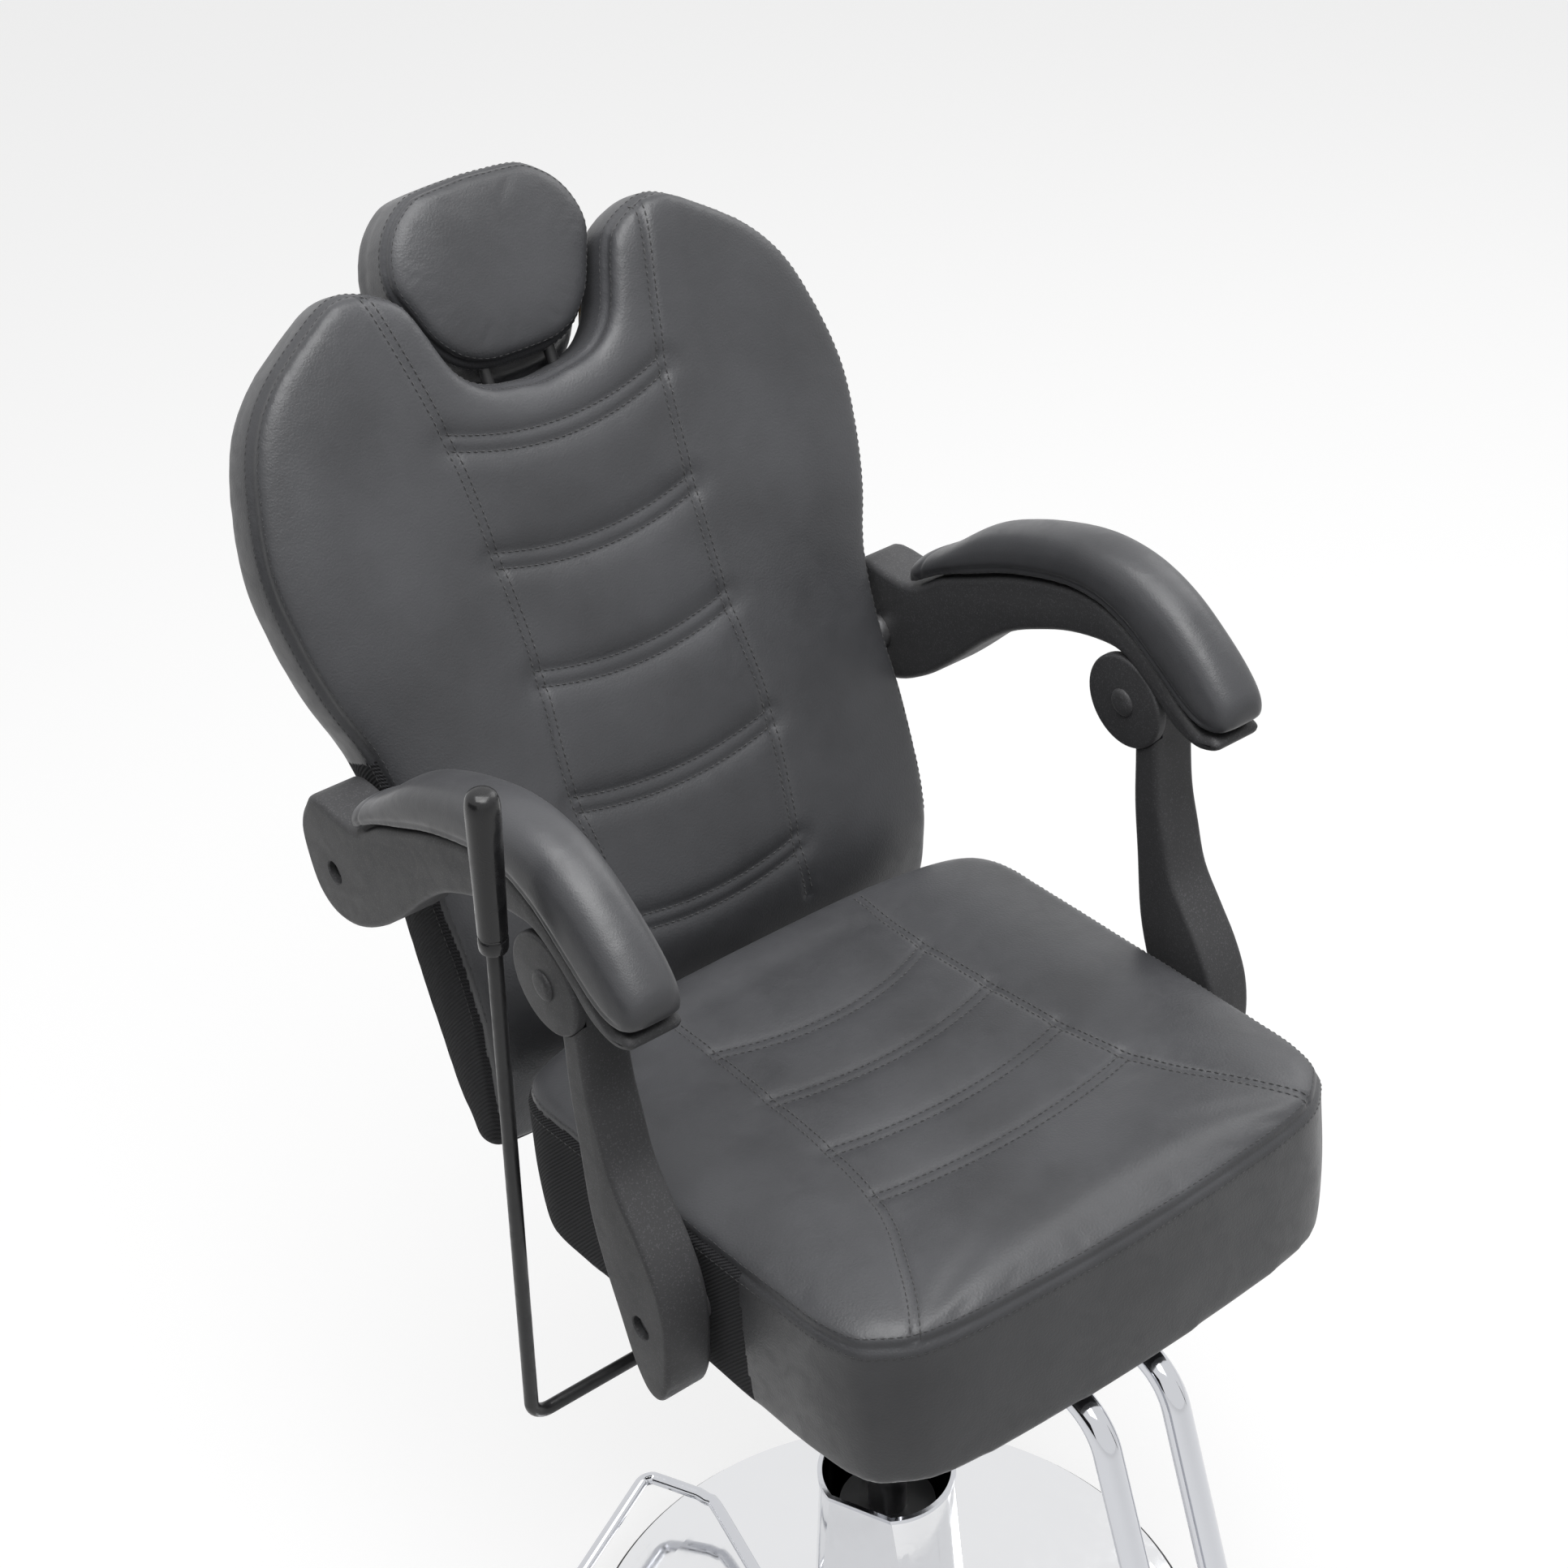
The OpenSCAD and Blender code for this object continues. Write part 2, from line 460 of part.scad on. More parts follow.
// Strut outline as [y, z] shares of the distance from its foot to the knuckle
strut_l = norm(pc - pd);
strut_in = arm_in + (arm_t - strut_t) / 2;
strut_shares = [[0.3, 1.02], [0.25, 0.9], [0.241, 0.816], [0.237, 0.65], [0.22, 0.48], [0.2, 0.274],
    [0.16, 0.123], [0.106, -0.02], [0.055, -0.15], [0, -0.225], [-0.06, -0.225], [-0.1, -0.14],
    [-0.115, -0.02], [-0.117, 0.08], [-0.1, 0.175], [-0.055, 0.27], [0.008, 0.36], [0.075, 0.46],
    [0.11, 0.58], [0.14, 0.7], [0.155, 0.86], [0.17, 1]];
strut_head_t = arm_t - 2 * ear_t - 2 * pass_gap;
module strut() color(nylon) difference() {
    union() {
        difference() {
            slab_x(eased([for (s = strut_shares) pd + s * strut_l]), strut_in, strut_in + strut_t);
            at_yz(pc) rod_x(knuckle_r + pass_gap, arm_in - over, arm_in + ear_t + pass_gap);
            at_yz(pc) rod_x(knuckle_r + pass_gap, arm_in + arm_t - ear_t - pass_gap, arm_in + arm_t + over);
        }
        at_yz(pc) rod_x(head_r, arm_in + ear_t + pass_gap, arm_in + arm_t - ear_t - pass_gap);
    }
    at_yz(pc) rod_x(knuckle_d / 2 + pass_gap, arm_in - over, arm_in + arm_t + over);
    at_yz(pd) rod_x(pivot_d / 2 + run_fit, arm_in - over, arm_in + arm_t + over);
    at_yz(pd) rod_x(counter_d / 2, strut_in + strut_t - counter_deep, arm_in + arm_t + over);
}
bolt_head_r = 8.5;
bolt_head_t = 8;
module pivot_bolt(inner, outer) {
    rod_x(pivot_d / 2, inner, outer - counter_deep + bolt_head_t / 2);
    rod_x(bolt_head_r, outer - counter_deep + pass_gap / 5, outer - counter_deep + bolt_head_t);
}
module arm_bolts() color(steel) both() at_yz(pb) pivot_bolt(block_x, arm_in + arm_t);
module strut_bolts() color(steel) both() at_yz(pd) pivot_bolt(block_x, strut_in + strut_t);
// Steel blocks inside the cushions that take the pivot bolts, each with a spacer
mount_deep = 47;
mount_cover = 15;
block_x = seat_w / 2 - mount_deep;
block_out = seat_w / 2 - mount_cover;
block_half = 24;
spacer_r = 17;
module arm_block(gap) {
    b = to_back(pb);
    box([block_x - gap, b[0] - block_half / 2 - gap, b[1] - block_half - gap],
        [block_out + gap, depth_at(rear_depth_shares, b[1] + block_half) - back_board_t - gap * 0 - pass_gap / 5
            + gap, b[1] + block_half + gap]);
    translate([0, b[0], b[1]]) rod_x(spacer_r + gap, block_out, arm_in - pass_gap / 5 + gap);
}
module arm_mounts() color(steel) both() at_back() difference() {
    arm_block(0);
    translate([0, to_back(pb)[0], to_back(pb)[1]]) rod_x(pivot_d / 2 + run_fit, block_x - over, arm_in + arm_t);
}
module strut_block(gap) {
    b = to_seat(pd);
    box([block_x - gap, b[0] - block_half - gap, -seat_t + board_t + (gap > 0 ? -gap : 0)],
        [block_out + gap, b[0] + block_half + gap, b[1] + block_half / 2 + spacer_r + gap]);
    translate([0, b[0], b[1]]) rod_x(spacer_r + gap, block_out, strut_in - pass_gap / 5 + gap);
}
module mount_blocks(gap) both() strut_block(gap);
module strut_mounts() color(steel) both() at_seat() difference() {
    strut_block(0);
    translate([0, to_seat(pd)[0], to_seat(pd)[1]]) rod_x(pivot_d / 2 + run_fit, block_x - over, arm_in + arm_t);
}

// Seat mechanism: a channel of two side plates and a floor, level with the floor
frame_in = 90;
plate_t = 5;
ear_r = 18;
shaft_r = 8;
deck_z = 554;
deck_t = 5;
deck_y = [-120, 130];
frame_back_share = 0.06;
flange_w = 30;
flange_t = 4;
// A point of the seat's axes as world [y, z]
function from_seat(p) = [crease_y, crease_h] + turned(p, -seat_pitch);
frame_top_back = from_seat([frame_back_share * seat_d, -seat_t - dust_gap]);
// Height of the seat's underside at a distance along the floor
function seat_under(y) = frame_top_back[1] + (frame_top_back[0] - y) * tan(seat_pitch);
front_wall_y = -140;
tube_z = 610;
lug_y = [5, 49];
lug_z = 522;
side_plate = [[front_wall_y, seat_under(front_wall_y) - pass_gap],
    [front_wall_y, tube_z - foot_d], [deck_y[0], deck_z], [lug_y[0], deck_z], [lug_y[0] + plate_t, lug_z],
    [lug_y[1] - plate_t, lug_z], [lug_y[1], deck_z], [deck_y[1], deck_z],
    [pa[0] + ear_r * 0.5, pa[1] - ear_r * 0.86], [pa[0] - ear_r * 0.7, pa[1] + ear_r * 0.5],
    frame_top_back - [0, pass_gap]];
lever_y = 27;
lever_z = 535;
bush_r = 8;
inner_lug_x = 60;
module mechanism_frame() color(black) difference() {
    union() {
        both() slab_x(side_plate, frame_in, frame_in + plate_t);
        both() at_yz(pa) rod_x(ear_r, frame_in, frame_in + plate_t);
        both() at_seat() box([frame_in, front_wall_y - crease_y, -seat_t - dust_gap - flange_t],
            [frame_in + flange_w, 0, -seat_t - dust_gap]);
        box([-frame_in - plate_t, deck_y[0], deck_z], [frame_in + plate_t, deck_y[1], deck_z + deck_t]);
        for (y = [front_wall_y, front_wall_y + tube_hold])
            box([-frame_in - plate_t, y, tube_z - foot_d],
                [frame_in + plate_t, y + plate_t, seat_under(y + plate_t) - 3 * pass_gap]);
        slab_x([[lug_y[0], deck_z + deck_t], [lug_y[0] + plate_t, lug_z], [lug_y[1] - plate_t, lug_z],
            [lug_y[1], deck_z + deck_t]], -inner_lug_x, -inner_lug_x + plate_t);
    }
    at_yz(pa) rod_x(shaft_r + run_fit, -frame_in - plate_t - over, frame_in + plate_t + over);
    at_yz([lever_y, lever_z]) rod_x(bush_r + run_fit, -frame_in - plate_t - over, -inner_lug_x + plate_t + over);
    at_seat() seat_bolt_places() translate([0, 0, -seat_t - dust_gap - 2 * flange_t])
        cylinder(d = bolt_d + 2 * run_fit, h = 3 * flange_t);
    for (s = [-1, 1]) translate([s * foot_x, front_wall_y - over, tube_z]) rotate([-90, 0, 0])
        cylinder(d = foot_d + 2 * run_fit, h = tube_hold + plate_t + 2 * over);
    translate([0, 0, deck_z - over]) cylinder(r = rod_d / 2 + pass_gap, h = deck_t + 2 * over);
}
seat_bolt_head = 5;
module seat_bolts() color(steel) at_seat() seat_bolt_places() {
    translate([0, 0, -seat_t - dust_gap - flange_t]) cylinder(d = bolt_d, h = flange_t + board_t);
    translate([0, 0, -seat_t - dust_gap - flange_t - seat_bolt_head]) cylinder(d = bolt_d * 1.7, h = seat_bolt_head);
}
// Swivel socket over the top of the piston rod
socket_z = 500;
socket_r = 24;
socket_flange_r = 62;
socket_flange_t = 8;
rod_top = 545;
module swivel_socket() color(black) difference() {
    union() {
        translate([0, 0, socket_z]) cylinder(r1 = socket_r - 2, r2 = socket_r + 3,
            h = deck_z - socket_flange_t - socket_z + over / 2, $fn = 96);
        translate([0, 0, deck_z - socket_flange_t]) cylinder(r = socket_flange_r, h = socket_flange_t);
    }
    translate([0, 0, socket_z - over]) cylinder(r = rod_d / 2 + run_fit, h = rod_top + pass_gap + over - socket_z);
    at_yz([lever_y, lever_z]) rod_x(lever_d / 2 + pass_gap, -socket_flange_r, -inner_lug_x + plate_t);
    box([-socket_flange_r - over, lug_y[0] - pass_gap, lug_z - pass_gap],
        [-inner_lug_x + plate_t + pass_gap, lug_y[1] + pass_gap, deck_z + over]);
}
rod_foot = 185;
module piston_rod() color(chrome) translate([0, 0, rod_foot]) cylinder(d = rod_d, h = rod_top - rod_foot);

// Recline lever on the sitter's right: a rod with a bent riser and a grip
lever_end_x = 50;
lever_bend_r = 16;
lever_lean = 4;
lever_rise = 607;
grip_l = 132;
grip_r = [10, 12];
collar_r = 8;
module lever_rod() color(black) at_yz([lever_y, lever_z]) {
    translate([-lever_x + lever_bend_r, 0, 0]) rod_x(lever_d / 2, 0, lever_x - lever_bend_r - lever_end_x);
    rotate([lever_lean, 0, 0]) {
        translate([-lever_x + lever_bend_r, 0, lever_bend_r]) rotate([90, 0, 0]) rotate([0, 0, 180])
            rotate_extrude(angle = 90) translate([lever_bend_r, 0]) circle(d = lever_d);
        translate([-lever_x, 0, lever_bend_r]) cylinder(d = lever_d, h = lever_rise - lever_bend_r - grip_l / 2);
    }
}
module lever_grip() color(black) at_yz([lever_y, lever_z]) rotate([lever_lean, 0, 0])
    translate([-lever_x, 0, lever_rise - grip_l]) difference() {
        rotate_extrude() polygon([[0, 0], [grip_r[0], 0], [grip_r[1], grip_l - button_t], [grip_r[1] - button_t / 2,
            grip_l], [0, grip_l]]);
        translate([0, 0, -over]) cylinder(r = lever_d / 2 + run_fit, h = grip_l / 2 + over + pass_gap);
    }
bush_flange = 2;
module lever_bushes() color(steel) at_yz([lever_y, lever_z]) difference() {
    union() {
        rod_x(bush_r, -frame_in - plate_t - bush_flange, -frame_in);
        rod_x(bush_r + bush_flange, -frame_in - plate_t - bush_flange, -frame_in - plate_t);
        rod_x(bush_r, -inner_lug_x, -inner_lug_x + plate_t + bush_flange);
        rod_x(bush_r + bush_flange, -inner_lug_x + plate_t, -inner_lug_x + plate_t + bush_flange);
    }
    rod_x(lever_d / 2 + run_fit, -frame_in - 2 * plate_t, -inner_lug_x + 2 * plate_t);
}
pawl_x = [-84, -78];
pawl_tip_shares = [-0.27, -0.963];
quadrant_r = 50;
tooth_h = 3;
pawl_tip = pa + quadrant_r * pawl_tip_shares;
module pawl_arm() color(steel) difference() {
    union() {
        at_yz([lever_y, lever_z]) rod_x(lever_d, pawl_x[0], pawl_x[1]);
        slab_x([[lever_y, lever_z - lever_d], [pawl_tip[0] - ear_r, lever_z - lever_d * 0.6],
            [pawl_tip[0] + plate_t, pawl_tip[1] - 3 * plate_t], [pawl_tip[0] + plate_t / 2, pawl_tip[1] - over / 2],
            [pawl_tip[0] - plate_t / 2, pawl_tip[1] - over / 2], [pawl_tip[0] - 2 * plate_t, pawl_tip[1] - 3 * plate_t],
            [deck_y[1] + plate_t, deck_z - plate_t * 1.4], [lever_y, lever_z + lever_d * 0.9]], pawl_x[0], pawl_x[1]);
    }
    at_yz([lever_y, lever_z]) rod_x(lever_d / 2 + run_fit, pawl_x[0] - over, pawl_x[1] + over);
}
hinge_arm_x = frame_in + plate_t + pass_gap;
module recline_shaft() color(chrome) at_yz(pa)
    rod_x(shaft_r, -hinge_arm_x - plate_t, hinge_arm_x + plate_t);
// Toothed quadrant, fixed on the shaft
tooth_from = -112;
tooth_step = 8;
teeth = 10;
module ratchet_quadrant() color(steel) at_yz(pa) difference() {
    union() {
        rod_x(shaft_r * 1.8, pawl_x[0], pawl_x[1]);
        slab_x(concat([[0, 0]], [for (i = [0:teeth], k = [0, 1])
            let (a = tooth_from + (i + k * 0.7) * tooth_step, r = quadrant_r - (k == 0 ? tooth_h : 0))
            [r * cos(a), r * sin(a)]]), pawl_x[0], pawl_x[1]);
    }
    rod_x(shaft_r + run_fit, pawl_x[0] - over, pawl_x[1] + over);
}
// Hinge arms: plates from the shaft up behind the back board
hinge_top = 120;
hinge_stand = 26;
hinge_flange_w = 34;
hinge_flange_t = 4;
function rear_at(u) = depth_at(rear_depth_shares, u) + dust_gap;
hinge_low = -70;
module hinge_arms() color(black) both() at_back() difference() {
    a = to_back(pa);
    foot = board_line_shares[0] * back_h;
    union() {
        translate([0, a[0], a[1]]) rod_x(ear_r, hinge_arm_x, hinge_arm_x + plate_t);
        slab_x([[a[0] - ear_r * 0.5, a[1] - ear_r * 0.86], [rear_at(foot) + hinge_stand * 0.6, a[1] + ear_r * 0.2],
            [rear_at(foot) + hinge_stand, foot], [rear_at(hinge_top) + hinge_flange_t, hinge_top],
            [rear_at(hinge_top), hinge_top], [rear_at(foot), foot], [rear_at(foot), hinge_low],
            [a[0] - ear_r * 0.5, a[1] + ear_r * 0.86]], hinge_arm_x, hinge_arm_x + plate_t);
        slab_x([[rear_at(foot), foot], [rear_at(foot) + hinge_flange_t, foot],
            [rear_at(hinge_top) + hinge_flange_t, hinge_top], [rear_at(hinge_top), hinge_top]],
            hinge_arm_x, hinge_arm_x + hinge_flange_w);
    }
    translate([0, a[0], a[1]]) rod_x(shaft_r + run_fit, hinge_arm_x - over, hinge_arm_x + plate_t + over);
    back_bolt_places() rod_y(bolt_d / 2 + run_fit, -2 * back_board_t, 2 * back_board_t);
}
back_bolt_u = [-20, 90];
module back_bolt_places() for (u = back_bolt_u, s = [-1, 1])
    translate([s * (hinge_arm_x + hinge_flange_w * 0.6), rear_at(u) + hinge_flange_t, u])
        rotate([rear_slope, 0, 0]) children();
module back_bolts() color(steel) at_back() back_bolt_places() {
    rod_y(bolt_d / 2, -hinge_flange_t - back_board_t + over, 0);
    rod_y(bolt_d * 0.8, 0, seat_bolt_head);
}

// Footrest: two bent tubes under the seat and a cross bar
tube_hold = 60;
foot_corner_y = -296;
foot_bend_r = 45;
foot_fall = 71;
foot_bar_z = 270;
foot_bar_d = 25;
foot_wall = 2;
foot_bar_y = foot_corner_y - (tube_z - foot_bar_z) / tan(foot_fall);
foot_steps = 8;
foot_tangent = foot_bend_r * tan(foot_fall / 2);
foot_way = [-cos(foot_fall), -sin(foot_fall)];
function foot_route(more) = concat([[front_wall_y + tube_hold + plate_t + more, tube_z]],
    [for (i = [0:foot_steps]) let (a = 90 + foot_fall * i / foot_steps)
        [foot_corner_y + foot_tangent + foot_bend_r * cos(a), tube_z - foot_bend_r + foot_bend_r * sin(a)]],
    [[foot_bar_y, foot_bar_z] + foot_way * more]);
module foot_run(d, more) translate([foot_x, 0, 0]) rotate([90, 0, 90]) swept_rod(foot_route(more), d);
module footrest_tubes() color(chrome) both() difference() {
    foot_run(foot_d, 0);
    foot_run(foot_d - 2 * foot_wall, over);
    at_yz([foot_bar_y, foot_bar_z]) rod_x(foot_bar_d / 2 + run_fit, -foot_bar_l / 2, foot_bar_l / 2);
}
module foot_bar() color(chrome) at_yz([foot_bar_y, foot_bar_z])
    rod_x(foot_bar_d / 2, -foot_bar_l / 2, foot_bar_l / 2);
sleeve_l = 98;
sleeve_r = 16;
rib_step = 14;
module foot_sleeves() color(black) both() at_yz([foot_bar_y, foot_bar_z]) difference() {
    rod_x(sleeve_r, foot_bar_l / 2 - sleeve_l, foot_bar_l / 2 - run_fit);
    rod_x(foot_bar_d / 2 + run_fit, foot_bar_l / 2 - sleeve_l - over, foot_bar_l / 2 + over);
    for (x = [foot_bar_l / 2 - sleeve_l + rib_step:rib_step:foot_bar_l / 2 - rib_step / 2])
        difference() {
            rod_x(sleeve_r + over, x, x + rib_step / 4);
            rod_x(sleeve_r - over, x - over, x + rib_step);
        }
}
cap_t = 5;
module foot_caps() color(black) both() at_yz([foot_bar_y, foot_bar_z])
    rod_x(sleeve_r + 1, foot_bar_l / 2, foot_bar_l / 2 + cap_t);

// Pump: cylinder on a flange, neck, gland collar and the chrome cover
flange_r = 80;
flange_h = 10;
bolt_circle = 65;
module four() for (a = [45:90:315]) rotate(a) translate([bolt_circle, 0, 0]) children();
bore_foot = 30;
module pump_body() color(steel) difference() {
    union() {
        translate([0, 0, base_t]) cylinder(r = flange_r, h = flange_h);
        translate([0, 0, base_t]) cylinder(r = pump_r, h = pump_h - base_t);
    }
    translate([0, 0, bore_foot]) cylinder(d = rod_d + 2 * run_fit, h = pump_h);
    four() translate([0, 0, base_t - over]) cylinder(d = bolt_d + 2 * run_fit, h = flange_h + 2 * over);
}
module pump_bolts() color(steel) four() {
    translate([0, 0, over]) cylinder(d = bolt_d, h = base_t + flange_h - over);
    translate([0, 0, base_t + flange_h]) cylinder(r = bolt_d * 0.8, h = bolt_d * 0.7, $fn = 6);
}
neck_h = 278;
collar_h = 300;
neck_r = 17;
neck_lip = 4;
module ring(r, z0, z1) translate([0, 0, z0]) difference() {
    cylinder(r = r, h = z1 - z0);
    translate([0, 0, -over]) cylinder(d = rod_d + 2 * run_fit, h = z1 - z0 + 2 * over);
}
module pump_neck() color(steel) ring(neck_r, pump_h, neck_h);
module gland_collar() color(black) ring(neck_r + neck_lip, neck_h, collar_h);
cover_flare = 14;
cover_turn = 24.5;
sheet_t = 2;
module cover_shape(grow, z0, z1) intersection() {
    translate([0, 0, z0]) cylinder(r1 = cover_r + cover_flare * (cover_h - z0) / (cover_h - base_cover_h) + grow,
        r2 = cover_r + cover_flare * (cover_h - z1) / (cover_h - base_cover_h) + grow, h = z1 - z0, $fn = 96);
    rotate(cover_turn) translate([-cover_flat - grow, -2 * cover_r, z0 - over])
        cube([2 * (cover_flat + grow), 4 * cover_r, z1 - z0 + 2 * over]);
}
// Direction of the pedal from the column
pedal_turn = 117.1;
module at_pedal() rotate(pedal_turn) translate([0, 0, pedal_h]) children();
slot_half = 14;
module pump_cover() color(chrome) difference() {
    cover_shape(0, base_cover_h, cover_h);
    cover_shape(-sheet_t, base_cover_h - over, cover_h + over);
    at_pedal() box([0, -slot_half, -slot_half * 1.4], [2 * cover_r, slot_half, slot_half]);
}
module pump_rim() color(chrome) difference() {
    cover_shape(sheet_t, cover_h, cover_h + 2 * sheet_t);
    cover_shape(-sheet_t, cover_h - over, cover_h + 2 * sheet_t + over);
}

// Pedal: a bent loop of rod hinged on a bracket behind the cover
bracket_reach = 62;
pedal_pin_at = 53;
pedal_ear_half = 8;
pedal_ear_t = 4;
pin_d = 8;
eye_r = 9;
module pedal_bracket() color(steel) at_pedal() difference() {
    for (y = [-pedal_ear_half - pedal_ear_t, pedal_ear_half])
        box([pump_r - 2, y, -eye_r - pedal_ear_t], [bracket_reach, y + pedal_ear_t, eye_r + pedal_ear_t]);
    translate([pedal_pin_at, -2 * pedal_ear_half, 0]) rod_y(pin_d / 2 + run_fit, 0, 4 * pedal_ear_half);
    translate([0, 0, -2 * eye_r]) cylinder(r = pump_r + dust_gap, h = 4 * eye_r);
}
module pedal_pin() color(steel) at_pedal() translate([pedal_pin_at, 0, 0]) {
    rod_y(pin_d / 2, -pedal_ear_half - pedal_ear_t - pass_gap, pedal_ear_half + pedal_ear_t + pass_gap);
    for (y = [-pedal_ear_half - pedal_ear_t - 2 * sheet_t, pedal_ear_half + pedal_ear_t + dust_gap])
        rod_y(pin_d * 0.8, y, y + 2 * sheet_t - dust_gap);
}
pedal_fork = 134;
pedal_bend = 220;
pedal_end = 289;
pedal_half = 71;
pedal_corner = 12;
// A rod of round section swept along a level route, mitred at each point
rod_sides = 16;
module swept_rod(route, d) {
    n = len(route);
    way = [for (i = [0:n - 2]) (route[i + 1] - route[i]) / norm(route[i + 1] - route[i])];
    mitre = [for (i = [0:n - 1]) let (u = way[max(i - 1, 0)], v = way[min(i, n - 2)], m = (u + v) / norm(u + v))
        [-m[1], m[0]] / (m * v)];
    polyhedron([for (i = [0:n - 1], k = [0:rod_sides - 1]) let (a = k * 360 / rod_sides)
            [route[i][0] + mitre[i][0] * cos(a) * d / 2, route[i][1] + mitre[i][1] * cos(a) * d / 2, sin(a) * d / 2]],
        concat(flip(wall_faces(rod_sides, n)), [for (k = [1:rod_sides - 2]) [0, k, k + 1]],
            [for (k = [1:rod_sides - 2]) let (b = rod_sides * (n - 1)) [b, b + k + 1, b + k]]), convexity = 6);
}
// Half of the loop: fork, eased bend, then the rounded corner
corner_steps = 5;
pedal_half_route = concat([[pedal_fork - pedal_d / 4, 0], [pedal_bend - pedal_corner, pedal_half * 0.88],
    [pedal_bend, pedal_half * 0.955], [pedal_bend + pedal_corner, pedal_half]],
    [for (i = [0:corner_steps]) let (a = 90 * (1 - i / corner_steps))
        [pedal_end - pedal_corner + pedal_corner * cos(a), pedal_half - pedal_corner + pedal_corner * sin(a)]]);
module pedal_loop() color(chrome) at_pedal() difference() {
    union() {
        translate([pedal_pin_at, 0, 0]) rod_y(eye_r, -pedal_ear_half + pass_gap / 2, pedal_ear_half - pass_gap / 2);
        swept_rod([[pedal_pin_at, 0], [pedal_fork + pedal_d / 2, 0]], pedal_d);
        swept_rod(concat(pedal_half_route, [for (i = [len(pedal_half_route) - 1:-1:0])
            [pedal_half_route[i][0], -pedal_half_route[i][1]]]), pedal_d);
    }
    translate([pedal_pin_at, 0, 0]) rod_y(pin_d / 2 + run_fit, -2 * pedal_ear_half, 2 * pedal_ear_half);
}

// Base
module base_plate() color(black) difference() {
    cylinder(r = base_r, h = base_t, $fn = 128);
    four() translate([0, 0, base_t / 6]) cylinder(d = bolt_d + 2 * run_fit, h = base_t);
}
ring_w = 23;
ring_h = 14;
ring_toe = 2;
ring_bead = 3;
cover_inset = 4;
module base_ring() color(black) rotate_extrude($fn = 128) polygon([[base_r + run_fit, 0],
    [base_r + ring_w - ring_toe, 0], [base_r + ring_w, ring_toe], [base_r + ring_w, ring_h - ring_bead],
    [base_r + ring_w - ring_bead, ring_h], [base_r + run_fit, ring_h]]);
cover_line_shares = [[0.16, 1], [0.335, 1], [0.45, 0.93], [0.65, 0.77], [0.85, 0.59], [0.95, 0.46], [1, 0.39]];
module base_cover() color(chrome) rotate_extrude($fn = 128) polygon(concat(
    [for (s = cover_line_shares) [s[0] * (base_r + ring_w - cover_inset), s[1] * (base_cover_h - sheet_t) + sheet_t
        + (s[1] < 0.4 ? cover_seat : 0)]],
    [for (i = [len(cover_line_shares) - 1:-1:0]) let (s = cover_line_shares[i])
        [s[0] * (base_r + ring_w - cover_inset), s[1] * (base_cover_h - sheet_t) + (s[1] < 0.4 ? cover_seat : 0)]]));
cover_seat = ring_h + dust_gap - 0.39 * (base_cover_h - sheet_t);

base_plate();
base_cover();
base_ring();
pump_body();
pump_bolts();
pump_cover();
pump_rim();
pump_neck();
gland_collar();
pedal_bracket();
pedal_pin();
pedal_loop();
piston_rod();
swivel_socket();
mechanism_frame();
seat_board();
seat_cushion();
seat_dust_cover();
seat_bolts();
strut_mounts();
strut_bolts();
lever_bushes();
lever_rod();
lever_grip();
pawl_arm();
recline_shaft();
ratchet_quadrant();
hinge_arms();
back_board();
back_bolts();
back_cushion();
arm_mounts();
arm_bolts();
headrest_guide();
headrest_posts();
headrest_plate();
headrest_cushion();
arm_shell();  // arm_shell_left
mirror([1, 0, 0]) arm_shell();  // arm_shell_right
arm_pad();  // arm_pad_left
mirror([1, 0, 0]) arm_pad();  // arm_pad_right
knuckle_bolt();  // knuckle_bolt_left
mirror([1, 0, 0]) knuckle_bolt();  // knuckle_bolt_right
strut();  // strut_left
mirror([1, 0, 0]) strut();  // strut_right
footrest_tubes();
foot_bar();
foot_sleeves();
foot_caps();
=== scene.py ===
"""Barber chair: finishes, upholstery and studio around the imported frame.

The rigid parts come from the frame. The cushions, pads, moulded arms, bent
tubes, stitching and cloth are modelled here, in metres, in the same axes:
+Z up, -Y the sitter's front, the origin on the floor under the pump column.
"""
import bmesh
import bpy
import json
import math
import numpy as np
from bpy.props import FloatProperty, FloatVectorProperty, IntProperty, PointerProperty
from mathutils import Matrix, Vector
from mathutils.bvhtree import BVHTree

